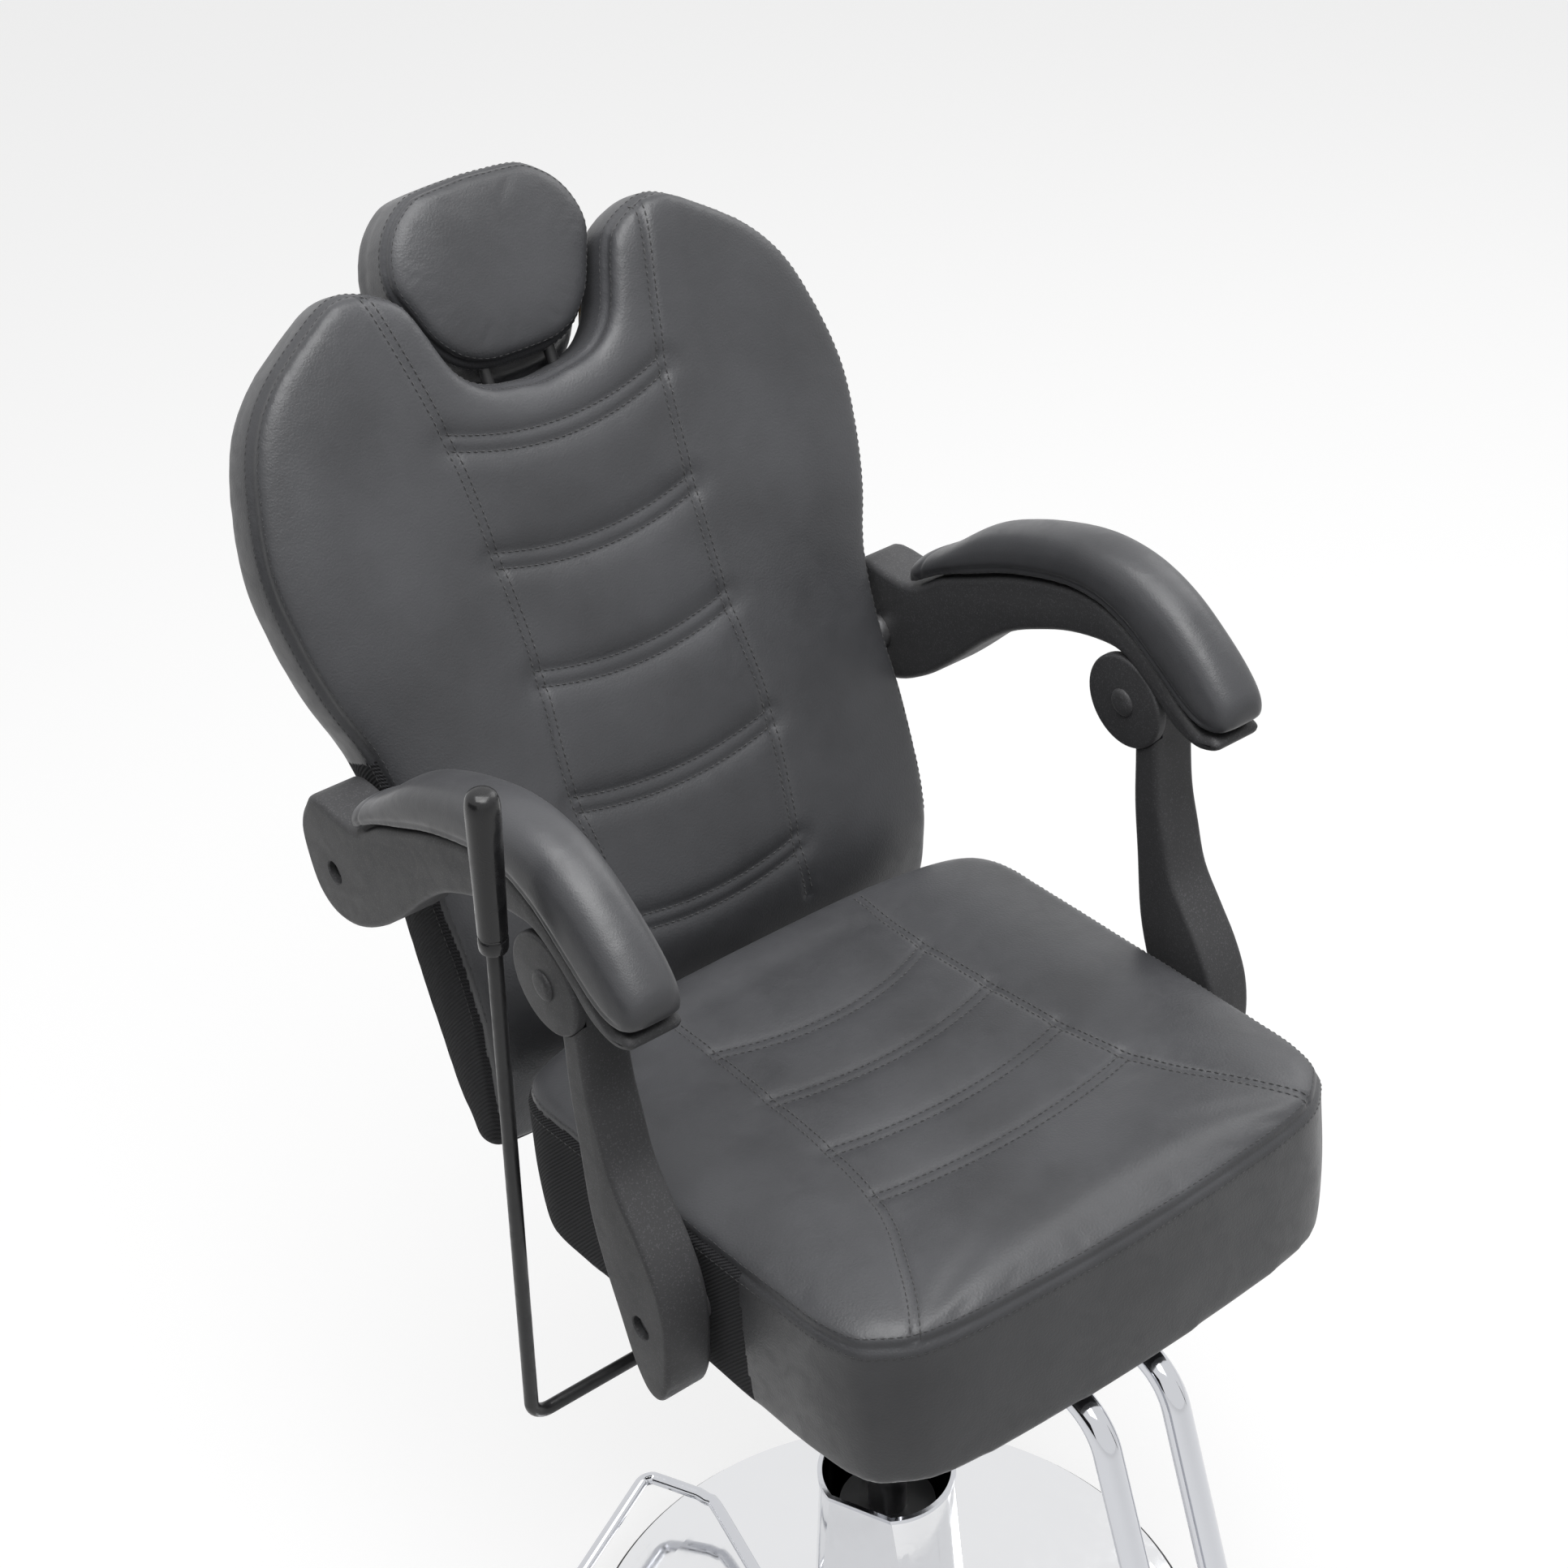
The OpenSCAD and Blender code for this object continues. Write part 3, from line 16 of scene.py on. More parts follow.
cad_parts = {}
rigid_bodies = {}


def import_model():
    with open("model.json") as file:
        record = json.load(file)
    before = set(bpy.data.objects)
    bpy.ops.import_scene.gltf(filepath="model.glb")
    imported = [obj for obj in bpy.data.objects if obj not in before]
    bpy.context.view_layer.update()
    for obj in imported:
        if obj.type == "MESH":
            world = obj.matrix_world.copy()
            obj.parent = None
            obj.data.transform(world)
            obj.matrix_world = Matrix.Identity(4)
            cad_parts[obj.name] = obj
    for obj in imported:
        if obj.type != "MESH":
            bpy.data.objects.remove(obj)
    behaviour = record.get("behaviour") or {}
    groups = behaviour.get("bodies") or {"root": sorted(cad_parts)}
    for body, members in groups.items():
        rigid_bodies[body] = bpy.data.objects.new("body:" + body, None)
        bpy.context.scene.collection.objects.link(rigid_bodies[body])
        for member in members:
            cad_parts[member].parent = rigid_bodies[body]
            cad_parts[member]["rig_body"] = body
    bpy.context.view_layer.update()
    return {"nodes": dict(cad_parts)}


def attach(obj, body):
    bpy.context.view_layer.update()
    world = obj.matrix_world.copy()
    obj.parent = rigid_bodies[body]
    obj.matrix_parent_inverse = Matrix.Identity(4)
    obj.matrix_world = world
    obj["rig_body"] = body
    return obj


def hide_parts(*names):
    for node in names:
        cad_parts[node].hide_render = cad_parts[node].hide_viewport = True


bl_info = {
    "name": "Barber chair",
    "version": (1, 0, 0),
    "blender": (4, 5, 0),
    "location": "View3D > Sidebar > Chair",
    "description": "Upholstery, finishes and studio for a reclining barber chair",
    "category": "Object",
}

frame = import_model()
NODES = frame["nodes"]

# Places shared with the frame, in metres and degrees
CREASE_Y = 0.167
CREASE_Z = 0.740
SEAT_PITCH = math.radians(4.5)
BACK_LEAN = math.radians(25.2)
BACK_OFFSET = 0.0075
SEAT_HALF = 0.237
SEAT_DEPTH = 0.464
SEAT_THICK = 0.134
SEAT_SEAM = 0.005
SEAT_CROWN = 0.014
BACK_HALF = 0.270
BACK_HEIGHT = 0.588
BACK_DROP = 0.102
BACK_TOP = 0.062
HEAD_HALF = 0.091
HEAD_HEIGHT = 0.158
HEAD_FOOT = 0.487
HEAD_TUCK = 0.014
HEAD_SEAM_V = 0.035
HEAD_THICK = 0.074

SEAT_AXES = Matrix.Translation((0, CREASE_Y, CREASE_Z)) @ Matrix.Rotation(-SEAT_PITCH, 4, "X")
BACK_AXES = Matrix.Translation((0, CREASE_Y + BACK_OFFSET, CREASE_Z)) @ Matrix.Rotation(-BACK_LEAN, 4, "X")


class ChairLook(bpy.types.PropertyGroup):
    """Sizes and colours of the finishes."""

    leather: FloatVectorProperty(name="Leather", description="Colour of the leather", subtype="COLOR",
        default=(0.046, 0.0468, 0.0505), min=0, max=1)
    nylon: FloatVectorProperty(name="Moulded plastic", description="Colour of the arm rails and struts",
        subtype="COLOR", default=(0.044, 0.044, 0.046), min=0, max=1)
    chrome: FloatVectorProperty(name="Chrome", description="Colour of the plated tubes and bars",
        subtype="COLOR",
        default=(0.60, 0.61, 0.64), min=0, max=1)
    # The covers' chrome is set brighter than the tubes' chrome so that they show near white: a painted
    # reflection of the white surroundings.
    covers: FloatVectorProperty(name="Chrome covers",
        description="Colour of the polished base and pump covers",
        subtype="COLOR", default=(0.78, 0.785, 0.80), min=0, max=1)
    voxel: FloatProperty(name="Foam voxel", description="Grid of the cushions before they swell",
        default=0.0050, min=0.003, max=0.02, unit="LENGTH")
    pressure: FloatProperty(name="Foam pressure", description="Pressure that fills the cushions",
        default=4.0, min=0, max=20)
    stitch: FloatProperty(name="Stitch length", description="Length of one stitch", default=0.0048,
        min=0.002, max=0.01, unit="LENGTH")
    frames: IntProperty(name="Frames", description="Frames over which the foam swells", default=14, min=1,
        max=40)


# Small tools

def deselect():
    for item in bpy.context.selected_objects:
        item.select_set(False)


def pick(item):
    deselect()
    item.select_set(True)
    bpy.context.view_layer.objects.active = item


def mesh_object(name, points, faces):
    """A piece from points and faces, with its doubles merged and its faces outward."""
    mesh = bpy.data.meshes.new(name)
    mesh.from_pydata([tuple(p) for p in points], [], faces)
    item = bpy.data.objects.new(name, mesh)
    bpy.context.scene.collection.objects.link(item)
    tidy_mesh(item)
    return item


def tidy_mesh(item, distance=1e-5):
    form = bmesh.new()
    form.from_mesh(item.data)
    bmesh.ops.remove_doubles(form, verts=form.verts, dist=distance)
    bmesh.ops.recalc_face_normals(form, faces=form.faces)
    form.to_mesh(item.data)
    form.free()
    item.data.update()


def apply_all(item):
    pick(item)
    for modifier in list(item.modifiers):
        bpy.ops.object.modifier_apply(modifier=modifier.name)


def smooth(item, angle=35):
    pick(item)
    bpy.ops.object.shade_smooth_by_angle(angle=math.radians(angle))


def points_of(item):
    flat = np.zeros(len(item.data.vertices) * 3)
    item.data.vertices.foreach_get("co", flat)
    return flat.reshape(-1, 3)


def set_points(item, points):
    item.data.vertices.foreach_set("co", np.ascontiguousarray(points).ravel())
    item.data.update()


def in_axes(axes, points):
    """Points of the row frame in local axes."""
    turn = np.array(axes.inverted())
    return points @ turn[:3, :3].T + turn[:3, 3]


def from_axes(axes, points):
    turn = np.array(axes)
    return np.asarray(points, float) @ turn[:3, :3].T + turn[:3, 3]


def between(a, b, c, d, t):
    """The point at share t from b to c on a smooth line through all four."""
    bow = (2 * a - 5 * b + 4 * c - d) * t * t
    return 0.5 * (2 * b + (c - a) * t + bow + (3 * b - a - 3 * c + d) * t ** 3)


def refine(rows, k):
    """Rows with k - 1 smooth steps put between each two."""
    rows = np.asarray(rows, float)
    ends = np.vstack([2 * rows[0] - rows[1], rows, 2 * rows[-1] - rows[-2]])
    steps = [between(*ends[i:i + 4], t) for i in range(len(rows) - 1) for t in np.arange(k) / k]
    return np.array(steps + [rows[-1]])


def spline(points, count):
    """A smooth line of count points through the given ones, evenly spaced."""
    dense = refine(points, 24)
    walk = np.r_[0, np.cumsum(np.linalg.norm(np.diff(dense, axis=0), axis=1))]
    at = np.linspace(0, walk[-1], count)
    return np.stack([np.interp(at, walk, dense[:, k]) for k in range(dense.shape[1])], 1)


def length_of(points):
    return float(np.linalg.norm(np.diff(points, axis=0), axis=1).sum())


def line_distance(points, line):
    """Distance of each point to a polyline."""
    best = np.full(len(points), np.inf)
    for a, b in zip(line[:-1], line[1:]):
        way = b - a
        t = np.clip(((points - a) @ way) / max(way @ way, 1e-12), 0, 1)
        best = np.minimum(best, np.linalg.norm(points - a - t[:, None] * way, axis=1))
    return best


# Finishes

def socket_group(name, inputs, outputs):
    """An empty shader group with named sockets, and its two ends."""
    group = bpy.data.node_groups.new(name, "ShaderNodeTree")
    for label, kind, value in inputs:
        made = group.interface.new_socket(name=label, in_out="INPUT", socket_type=kind)
        if value is not None:
            made.default_value = value
    for label, kind in outputs:
        group.interface.new_socket(name=label, in_out="OUTPUT", socket_type=kind)
    return group, group.nodes.new("NodeGroupInput"), group.nodes.new("NodeGroupOutput")


def node(tree, kind, inputs=None, **settings):
    """A node with its settings, and its inputs as values or as sockets to link."""
    made = tree.nodes.new(kind)
    for key, value in settings.items():
        setattr(made, key, value)
    for key, value in (inputs or {}).items():
        if isinstance(value, bpy.types.NodeSocket):
            tree.links.new(value, made.inputs[key])
        else:
            made.inputs[key].default_value = value
    return made


def noise(tree, place, scale, detail=2.0, distortion=0.0):
    """A noise texture's value at a place."""
    return node(tree, "ShaderNodeTexNoise", {"Vector": place, "Scale": scale, "Detail": detail,
        "Distortion": distortion}).outputs["Fac"]


def ramp(tree, fac, stops):
    made = node(tree, "ShaderNodeValToRGB", {"Fac": fac})
    marks = made.color_ramp.elements
    while len(marks) < len(stops):
        marks.new(0.5)
    for mark, (at, value) in zip(marks, stops):
        mark.position = at
        mark.color = (value, value, value, 1)
    return made.outputs["Color"]


def maths(tree, operation, a, b=0.0):
    return node(tree, "ShaderNodeMath", {0: a, 1: b}, operation=operation).outputs[0]


def grain_group():
    """Pebbled grain of leather: cells, finer pores and slow folds."""
    group, start, end = socket_group("Leather grain",
        [("Vector", "NodeSocketVector", None), ("Scale", "NodeSocketFloat", 600.0),
            ("Folds", "NodeSocketFloat", 0.3)],
        [("Height", "NodeSocketFloat"), ("Tone", "NodeSocketFloat")])
    place, scale = start.outputs["Vector"], start.outputs["Scale"]
    cells = node(group, "ShaderNodeTexVoronoi", {"Vector": place, "Scale": scale}, feature="SMOOTH_F1")
    pores = noise(group, place, maths(group, "MULTIPLY", scale, 2.1), 3.0)
    fine = maths(group, "ADD", maths(group, "MULTIPLY", cells.outputs["Distance"], -0.7),
        maths(group, "MULTIPLY", pores, 0.25))
    slow = maths(group, "MULTIPLY", noise(group, place, 38.0, 4.0, 0.8), start.outputs["Folds"])
    group.links.new(maths(group, "ADD", fine, slow), end.inputs["Height"])
    group.links.new(noise(group, place, 9.0, 5.0), end.inputs["Tone"])
    return group


def speckle_group():
    """Fine grain of spark-eroded moulded plastic, with a painted sparkle of light dots in its colour."""
    group, start, end = socket_group("Moulded speckle",
        [("Vector", "NodeSocketVector", None), ("Scale", "NodeSocketFloat", 900.0)],
        [("Height", "NodeSocketFloat"), ("Painted sparkle", "NodeSocketFloat")])
    place, scale = start.outputs["Vector"], start.outputs["Scale"]
    dots = node(group, "ShaderNodeTexVoronoi", {"Vector": place, "Scale": scale, "Randomness": 1.0})
    fine = noise(group, place, maths(group, "MULTIPLY", scale, 1.7), 2.0)
    group.links.new(maths(group, "ADD", maths(group, "MULTIPLY", dots.outputs["Distance"], 0.6),
        maths(group, "MULTIPLY", fine, 0.5)), end.inputs["Height"])
    bits = node(group, "ShaderNodeSeparateColor", {"Color": dots.outputs["Color"]})
    group.links.new(ramp(group, bits.outputs[0], [(0.80, 0.0), (0.97, 1.0)]), end.inputs["Painted sparkle"])
    return group


def dust_group():
    """Light dust and handling marks that gather on faces turned up."""
    group, start, end = socket_group("Settled dust",
        [("Vector", "NodeSocketVector", None), ("Amount", "NodeSocketFloat", 0.1)],
        [("Mask", "NodeSocketFloat"), ("Smear", "NodeSocketFloat")])
    place = start.outputs["Vector"]
    facing = node(group, "ShaderNodeNewGeometry").outputs["Normal"]
    up = node(group, "ShaderNodeSeparateXYZ", {"Vector": facing}).outputs["Z"]
    lie = maths(group, "MULTIPLY", ramp(group, up, [(0.1, 0.0), (0.9, 1.0)]),
        ramp(group, noise(group, place, 14.0, 6.0), [(0.40, 0.0), (0.72, 1.0)]))
    smear = noise(group, place, 46.0, 8.0, 1.4)
    group.links.new(maths(group, "MULTIPLY", lie, start.outputs["Amount"]), end.inputs["Mask"])
    group.links.new(ramp(group, smear, [(0.38, 0.0), (0.66, 1.0)]), end.inputs["Smear"])
    return group


def rib_group():
    """Knitted spacer cloth: ribs that lean across a fine mesh."""
    group, start, end = socket_group("Ribbed cloth",
        [("Vector", "NodeSocketVector", None), ("Pitch", "NodeSocketFloat", 300.0)],
        [("Height", "NodeSocketFloat"), ("Tone", "NodeSocketFloat")])
    axes = node(group, "ShaderNodeSeparateXYZ", {"Vector": start.outputs["Vector"]})
    slant = maths(group, "ADD", maths(group, "MULTIPLY", axes.outputs["Z"], 0.9),
        maths(group, "MULTIPLY", axes.outputs["X"], 0.8))
    across = maths(group, "ADD", axes.outputs["Y"], slant)
    along = maths(group, "SUBTRACT", axes.outputs["Z"], maths(group, "MULTIPLY", axes.outputs["Y"], 0.9))
    turn = maths(group, "MULTIPLY", start.outputs["Pitch"], 2 * math.pi)
    rib = maths(group, "SINE", maths(group, "MULTIPLY", across, turn))
    loop = maths(group, "SINE", maths(group, "MULTIPLY", along, maths(group, "MULTIPLY", turn, 1.6)))
    high = maths(group, "ADD", maths(group, "MULTIPLY", rib, 0.5), maths(group, "MULTIPLY", loop, 0.22))
    group.links.new(high, end.inputs["Height"])
    group.links.new(ramp(group, maths(group, "ADD", maths(group, "MULTIPLY", high, 0.5), 0.5),
        [(0.2, 0.0), (0.8, 1.0)]), end.inputs["Tone"])
    return group


GROUPS = {}


def group_node(tree, name, inputs):
    """A shared group in a material; each group is built once."""
    if name not in GROUPS:
        GROUPS[name] = {"grain": grain_group, "speckle": speckle_group, "dust": dust_group,
            "rib": rib_group}[name]()
    return node(tree, "ShaderNodeGroup", inputs, node_tree=GROUPS[name])


def finish_of(name, color, metallic=0.0, roughness=0.5, sheen=0.0, coat=0.0, specular=0.5):
    """A new material: its tree, its shader and its object coordinates."""
    made = bpy.data.materials.new(name)
    made.use_nodes = True
    made.diffuse_color = (*color[:3], 1)
    tree = made.node_tree
    shader = tree.nodes["Principled BSDF"]
    for key, value in (("Metallic", metallic), ("Roughness", roughness), ("Specular IOR Level", specular),
            ("Sheen Weight", sheen), ("Coat Weight", coat)):
        shader.inputs[key].default_value = value
    shader.inputs["Base Color"].default_value = (*color[:3], 1)
    place = tree.nodes.new("ShaderNodeTexCoord").outputs["Object"]
    return made, tree, shader, place


def tint(tree, fac, a, b):
    """A colour that goes from a to b with fac."""
    made = tree.nodes.new("ShaderNodeMix")
    made.data_type = "RGBA"
    for socket, value in (("Factor_Float", fac), ("A_Color", a), ("B_Color", b)):
        target = next(s for s in made.inputs if s.identifier == socket)
        if isinstance(value, bpy.types.NodeSocket):
            tree.links.new(value, target)
        else:
            target.default_value = (*value[:3], 1) if socket != "Factor_Float" else value
    return next(s for s in made.outputs if s.identifier == "Result_Color")


def spread(tree, fac, low, high):
    return node(tree, "ShaderNodeMapRange", {"Value": fac, "To Min": low, "To Max": high}).outputs[0]


def dress(tree, shader, color, height, bump, rough=None):
    """Link the colour of a material, its bump [strength, distance] and, where it is worn, its roughness."""
    tree.links.new(color, shader.inputs["Base Color"])
    if rough:
        tree.links.new(spread(tree, *rough), shader.inputs["Roughness"])
    made = node(tree, "ShaderNodeBump", {"Height": height, "Strength": bump[0], "Distance": bump[1]})
    tree.links.new(made.outputs[0], shader.inputs["Normal"])


def scaled(color, k):
    return tuple(min(1.0, c * k) for c in color[:3])


def leather_finish(look, name="leather", scale=620.0, folds=0.3, strength=0.35, rough=(0.38, 0.47),
        dust=0.03):
    base = tuple(look.leather)
    made, tree, shader, place = finish_of(name, base, roughness=0.43, sheen=0.02, specular=0.40)
    grain = group_node(tree, "grain", {"Vector": place, "Scale": scale, "Folds": folds})
    lay = group_node(tree, "dust", {"Vector": place, "Amount": dust})
    body = tint(tree, ramp(tree, grain.outputs["Tone"], [(0.35, 0.0), (0.65, 1.0)]), scaled(base, 0.82),
        scaled(base, 1.2))
    worn = tint(tree, lay.outputs["Mask"], body, (0.13, 0.13, 0.13))
    dress(tree, shader, worn, grain.outputs["Height"], (strength, 0.0006), (lay.outputs["Smear"], *rough))
    return made


def dusty_finish(name, base, dust, amount, rough, grain, bump, **settings):
    """A plain finish: dust over its base, worn roughness, and a bump of noise with grain [scale, detail]."""
    made, tree, shader, place = finish_of(name, base, roughness=rough[0], **settings)
    lay = group_node(tree, "dust", {"Vector": place, "Amount": amount})
    worn = tint(tree, lay.outputs["Mask"], base, dust)
    dress(tree, shader, worn, noise(tree, place, *grain), bump, (lay.outputs["Smear"], *rough))
    return made


def nylon_finish(look):
    base = tuple(look.nylon)
    made, tree, shader, place = finish_of("nylon", base, roughness=0.5, specular=0.3)
    dots = group_node(tree, "speckle", {"Vector": place, "Scale": 1100.0})
    lay = group_node(tree, "dust", {"Vector": place, "Amount": 0.05})
    # Light dots painted into the colour of the plastic: a painted sparkle.
    body = tint(tree, dots.outputs["Painted sparkle"], base, scaled(base, 1.7))
    worn = tint(tree, lay.outputs["Mask"], body, (0.12, 0.12, 0.12))
    dress(tree, shader, worn, dots.outputs["Height"], (0.35, 0.00035), (lay.outputs["Smear"], 0.50, 0.56))
    return made


def cloth_finishes():
    """The ribbed mesh cloth of the bands, the felt of the dust cover and the sewing thread."""
    mesh, tree, shader, place = finish_of("mesh cloth", (0.028, 0.028, 0.031), roughness=0.85, sheen=0.04,
        specular=0.15)
    rib = group_node(tree, "rib", {"Vector": place, "Pitch": 290.0})
    tone = tint(tree, rib.outputs["Tone"], (0.007, 0.007, 0.008), (0.040, 0.040, 0.043))
    dress(tree, shader, tone, rib.outputs["Height"], (0.7, 0.0007))

    cover, tree, shader, place = finish_of("dust_cloth", (0.018, 0.018, 0.019), roughness=0.95, sheen=0.1,
        specular=0.1)
    felt = noise(tree, place, 900.0, 6.0, 2.0)
    press = node(tree, "ShaderNodeTexVoronoi", {"Vector": place, "Scale": 420.0})
    tone = tint(tree, felt, (0.009, 0.009, 0.010), (0.048, 0.048, 0.050))
    dress(tree, shader, tone, maths(tree, "ADD", felt, press.outputs["Distance"]), (0.5, 0.0005))

    thread, tree, shader, place = finish_of("thread", (0.020, 0.020, 0.021), roughness=0.6, sheen=0.2,
        specular=0.4)
    twist = node(tree, "ShaderNodeTexWave", {"Vector": place, "Scale": 900.0, "Distortion": 1.5})
    tone = tint(tree, twist.outputs["Fac"], (0.012, 0.012, 0.013), (0.046, 0.046, 0.048))
    dress(tree, shader, tone, twist.outputs["Fac"], (0.5, 0.0003))
    return {"mesh cloth": mesh, "dust_cloth": cover, "thread": thread}


def plywood_finish():
    made, tree, shader, place = finish_of("plywood", (0.50, 0.35, 0.20), roughness=0.66)
    drift = node(tree, "ShaderNodeMapping", {"Vector": place, "Scale": (1.0, 9.0, 1.0)})
    veins = noise(tree, drift.outputs[0], 28.0, 7.0, 1.6)
    plies = node(tree, "ShaderNodeTexWave", {"Vector": place, "Scale": 75.0, "Distortion": 0.6},
        bands_direction="Z")
    wood = tint(tree, veins, (0.34, 0.21, 0.10), (0.62, 0.46, 0.28))
    layer = tint(tree, maths(tree, "MULTIPLY", plies.outputs["Fac"], 0.25), wood, (0.2, 0.12, 0.06))
    dress(tree, shader, layer, veins, (0.2, 0.0006))
    return made


def make_finishes(look):
    """Every finish of the chair, by the name of its material slot or its use."""
    dusty = (0.42, 0.41, 0.39)
    metal = {"metallic": 1.0}
    plain = [
        ("chrome", tuple(look.chrome), dusty, 0.03, (0.05, 0.12), (70.0, 4.0), (0.05, 0.0005), metal),
        # The covers take a brighter copy of the chrome, a painted reflection of the white surroundings.
        ("cover chrome", tuple(look.covers), dusty, 0.02, (0.06, 0.13), (70.0, 4.0), (0.05, 0.0005), metal),
        ("steel", (0.34, 0.34, 0.35), dusty, 0.06, (0.28, 0.46), (340.0, 4.0), (0.18, 0.0005), metal),
        ("black_paint", (0.020, 0.020, 0.021), (0.10, 0.10, 0.098), 0.22, (0.28, 0.46), (480.0, 2.0),
            (0.16, 0.0004), {"specular": 0.32}),
        ("grip_plastic", (0.013, 0.013, 0.014), (0.08, 0.08, 0.08), 0.10, (0.14, 0.34), (90.0, 3.0),
            (0.06, 0.0006), {"coat": 0.1, "specular": 0.3}),
        ("rubber", (0.034, 0.034, 0.035), (0.14, 0.135, 0.13), 0.30, (0.62, 0.82), (650.0, 4.0),
            (0.3, 0.0005), {"specular": 0.35}),
    ]
    made = {row[0]: dusty_finish(*row[:-1], **row[-1]) for row in plain}
    made.update(cloth_finishes())
    made["leather"] = leather_finish(look)
    made["pad leather"] = leather_finish(look, "pad leather", scale=900.0, folds=0.12, strength=0.2,
        rough=(0.36, 0.44), dust=0.05)
    made["nylon"] = nylon_finish(look)
    made["plywood"] = plywood_finish()
    return made


FINISHES = {}


def give(item, name):
    """Put one finish on a piece, in place of its materials."""
    item.data.materials.clear()
    item.data.materials.append(FINISHES[name])


# Tables of the soft forms, as shares of their widths, depths and heights

SEAT_OUTLINE = [(0, -0.013), (0.46, -0.009), (0.76, 0.01), (0.94, 0.045), (1, 0.11), (1, 0.2), (0.996, 0.31),
    (0.99, 0.42), (0.987, 0.53), (0.983, 0.65), (0.975, 0.76), (0.968, 0.84), (0.935, 0.907), (0.885, 0.935),
    (0.79, 0.968), (0.63, 0.985), (0.48, 0.991), (0.32, 0.996), (0.16, 0.999), (0, 1)]
SEAT_BAND = [(0.1, 1, 0), (0.03, 0.99, 0), (0.008, 0.95, 0), (-0.004, 0.55, 0), (0.002, 0.12, 0), (0, 0, 0)]
SEAT_PANEL = [(0, 0, 0), (0.035, 0, 0.5), (0.1, 0, 0.82), (0.24, 0, 1), (0.4, 0, 0.96), (0.54, 0, 0.8),
    (0.75, 0, 0.8), (0.97, 0, 0.8)]
SEAT_SEAMS = [(0.45, 0.03), (0.44, 0.1), (0.438, 0.22), (0.45, 0.39), (0.468, 0.55), (0.505, 0.68),
    (0.555, 0.76), (0.615, 0.82), (0.71, 0.907), (0.79, 0.965)]
SEAT_CHANNELS = [(0.438, 0.222, 0.055), (0.45, 0.39, 0.038), (0.468, 0.553, 0.034), (0.505, 0.69, 0.028)]
BACK_OUTLINE = [(0, 0.818), (0.133, 0.827), (0.204, 0.84), (0.263, 0.869), (0.296, 0.908), (0.322, 0.942),
    (0.36, 0.973), (0.46, 0.996), (0.548, 1), (0.68, 0.966), (0.815, 0.92), (0.907, 0.864), (0.963, 0.79),
    (0.998, 0.7), (0.985, 0.61), (0.945, 0.52), (0.885, 0.44), (0.856, 0.34), (0.85, 0.22), (0.837, 0.085)]
BACK_LOW = [(0.822, 0.2), (0.8, 0.7), (0.76, 0.96), (0.4, 1), (0, 1)]
LOBE_SPINE = [(0.58, 0.88), (0.56, 0.86), (0.54, 0.83), (0.52, 0.79), (0.49, 0.75), (0.45, 0.71),
    (0.38, 0.67), (0.25, 0.62), (0, 0.56)]
EDGE_DEPTH = [(-0.18, 1.75), (-0.13, 1.31), (-0.034, 0.74), (0.05, 0.37), (0.14, 0.2), (0.24, 0.17),
    (0.36, 0.24), (1, 0.27)]
CROWN_DEPTH = [(-0.18, 1.68), (-0.1, 1.07), (-0.034, 0.5), (0.034, 0.12), (0.1, 0), (1, 0)]
REAR_DEPTH = [(-0.18, 2.16), (-0.094, 2.11), (0.366, 1.22), (1, 1)]
BACK_BAND = [(0.09, 1, 0), (0.03, 0.99, 0), (0.008, 0.95, 0), (-0.012, 0.5, 0), (-0.006, 0.12, 0), (0, 0, 0)]
BACK_PANEL = [(0, 0, 0), (0.04, 0, 0.5), (0.11, 0, 0.85), (0.27, 0, 1.05), (0.44, 0, 1.03), (0.58, 0, 0.85),
    (0.8, 0, 0.85)]
BACK_SEAMS = [(0.463, 0.99), (0.37, 0.79), (0.341, 0.627), (0.33, 0.461), (0.352, 0.298), (0.315, 0.104),
    (0.326, 0.01)]
BACK_CHANNELS = [(0.365, 0.781, 0.032), (0.34, 0.617, 0.024), (0.332, 0.451, 0.022), (0.35, 0.275, 0.021),
    (0.32, 0.093, 0.02)]
HEAD_OUTLINE = [(0, 1), (0.45, 0.985), (0.62, 0.955), (0.82, 0.86), (0.955, 0.72), (1, 0.55), (0.9, 0.37),
    (0.78, 0.2), (0.58, 0.07), (0.33, 0.01), (0, 0)]
HEAD_BAND = [(0.2, 0.86, 0, -1.1), (0.06, 0.83, 0, -1.1), (0.01, 0.76, 0, -1.1), (0, 0.48, 0, -1.1),
    (0, 0.43, 0, 0.1), (0, 0.12, 0, 0.7), (0, 0, 0, 1)]
HEAD_PANEL = [(0, 0, 0, 1), (0.07, 0, 0.5, 1), (0.2, 0, 0.8, 1), (0.45, 0, 0.97, 1), (0.8, 0, 1, 1),
    (0.97, 0, 1, 1)]
SEAT_STRIP = 0.009
BACK_STRIP = 0.013
SEAM_HALF = 0.0034
THREAD_R = 0.00058
THREAD_EDGE_R = 0.00036
STITCH_SIDES = 6
LOBE_TOP = 8


def rings_of(band, panel, k=3):
    """Rings from the rear of the band to the seam and on across the panel."""
    return np.vstack([refine(band, k)[:-1], refine(panel, k)])


def full_ring(half):
    """A half ring with its mirror image, from the centre line round and back."""
    other = half[1:-1][::-1] * np.array([-1, 1, 1])
    return np.vstack([half, other])


def ladder(pairs):
    """Faces between the rungs of a ladder of point pairs."""
    faces = []
    for (a, b), (c, d) in zip(pairs[:-1], pairs[1:]):
        ring = []
        for p in (a, b, d, c):
            if p not in ring:
                ring.append(p)
        if len(ring) > 2:
            faces.append(ring)
    return faces


def ring_faces(rows, n, wrap=False):
    """Faces between rows of n points each; wrap joins the last row to the first."""
    return [(r * n + i, r * n + (i + 1) % n, (r + 1) % rows * n + (i + 1) % n, (r + 1) % rows * n + i)
        for r in range(rows if wrap else rows - 1) for i in range(n)]


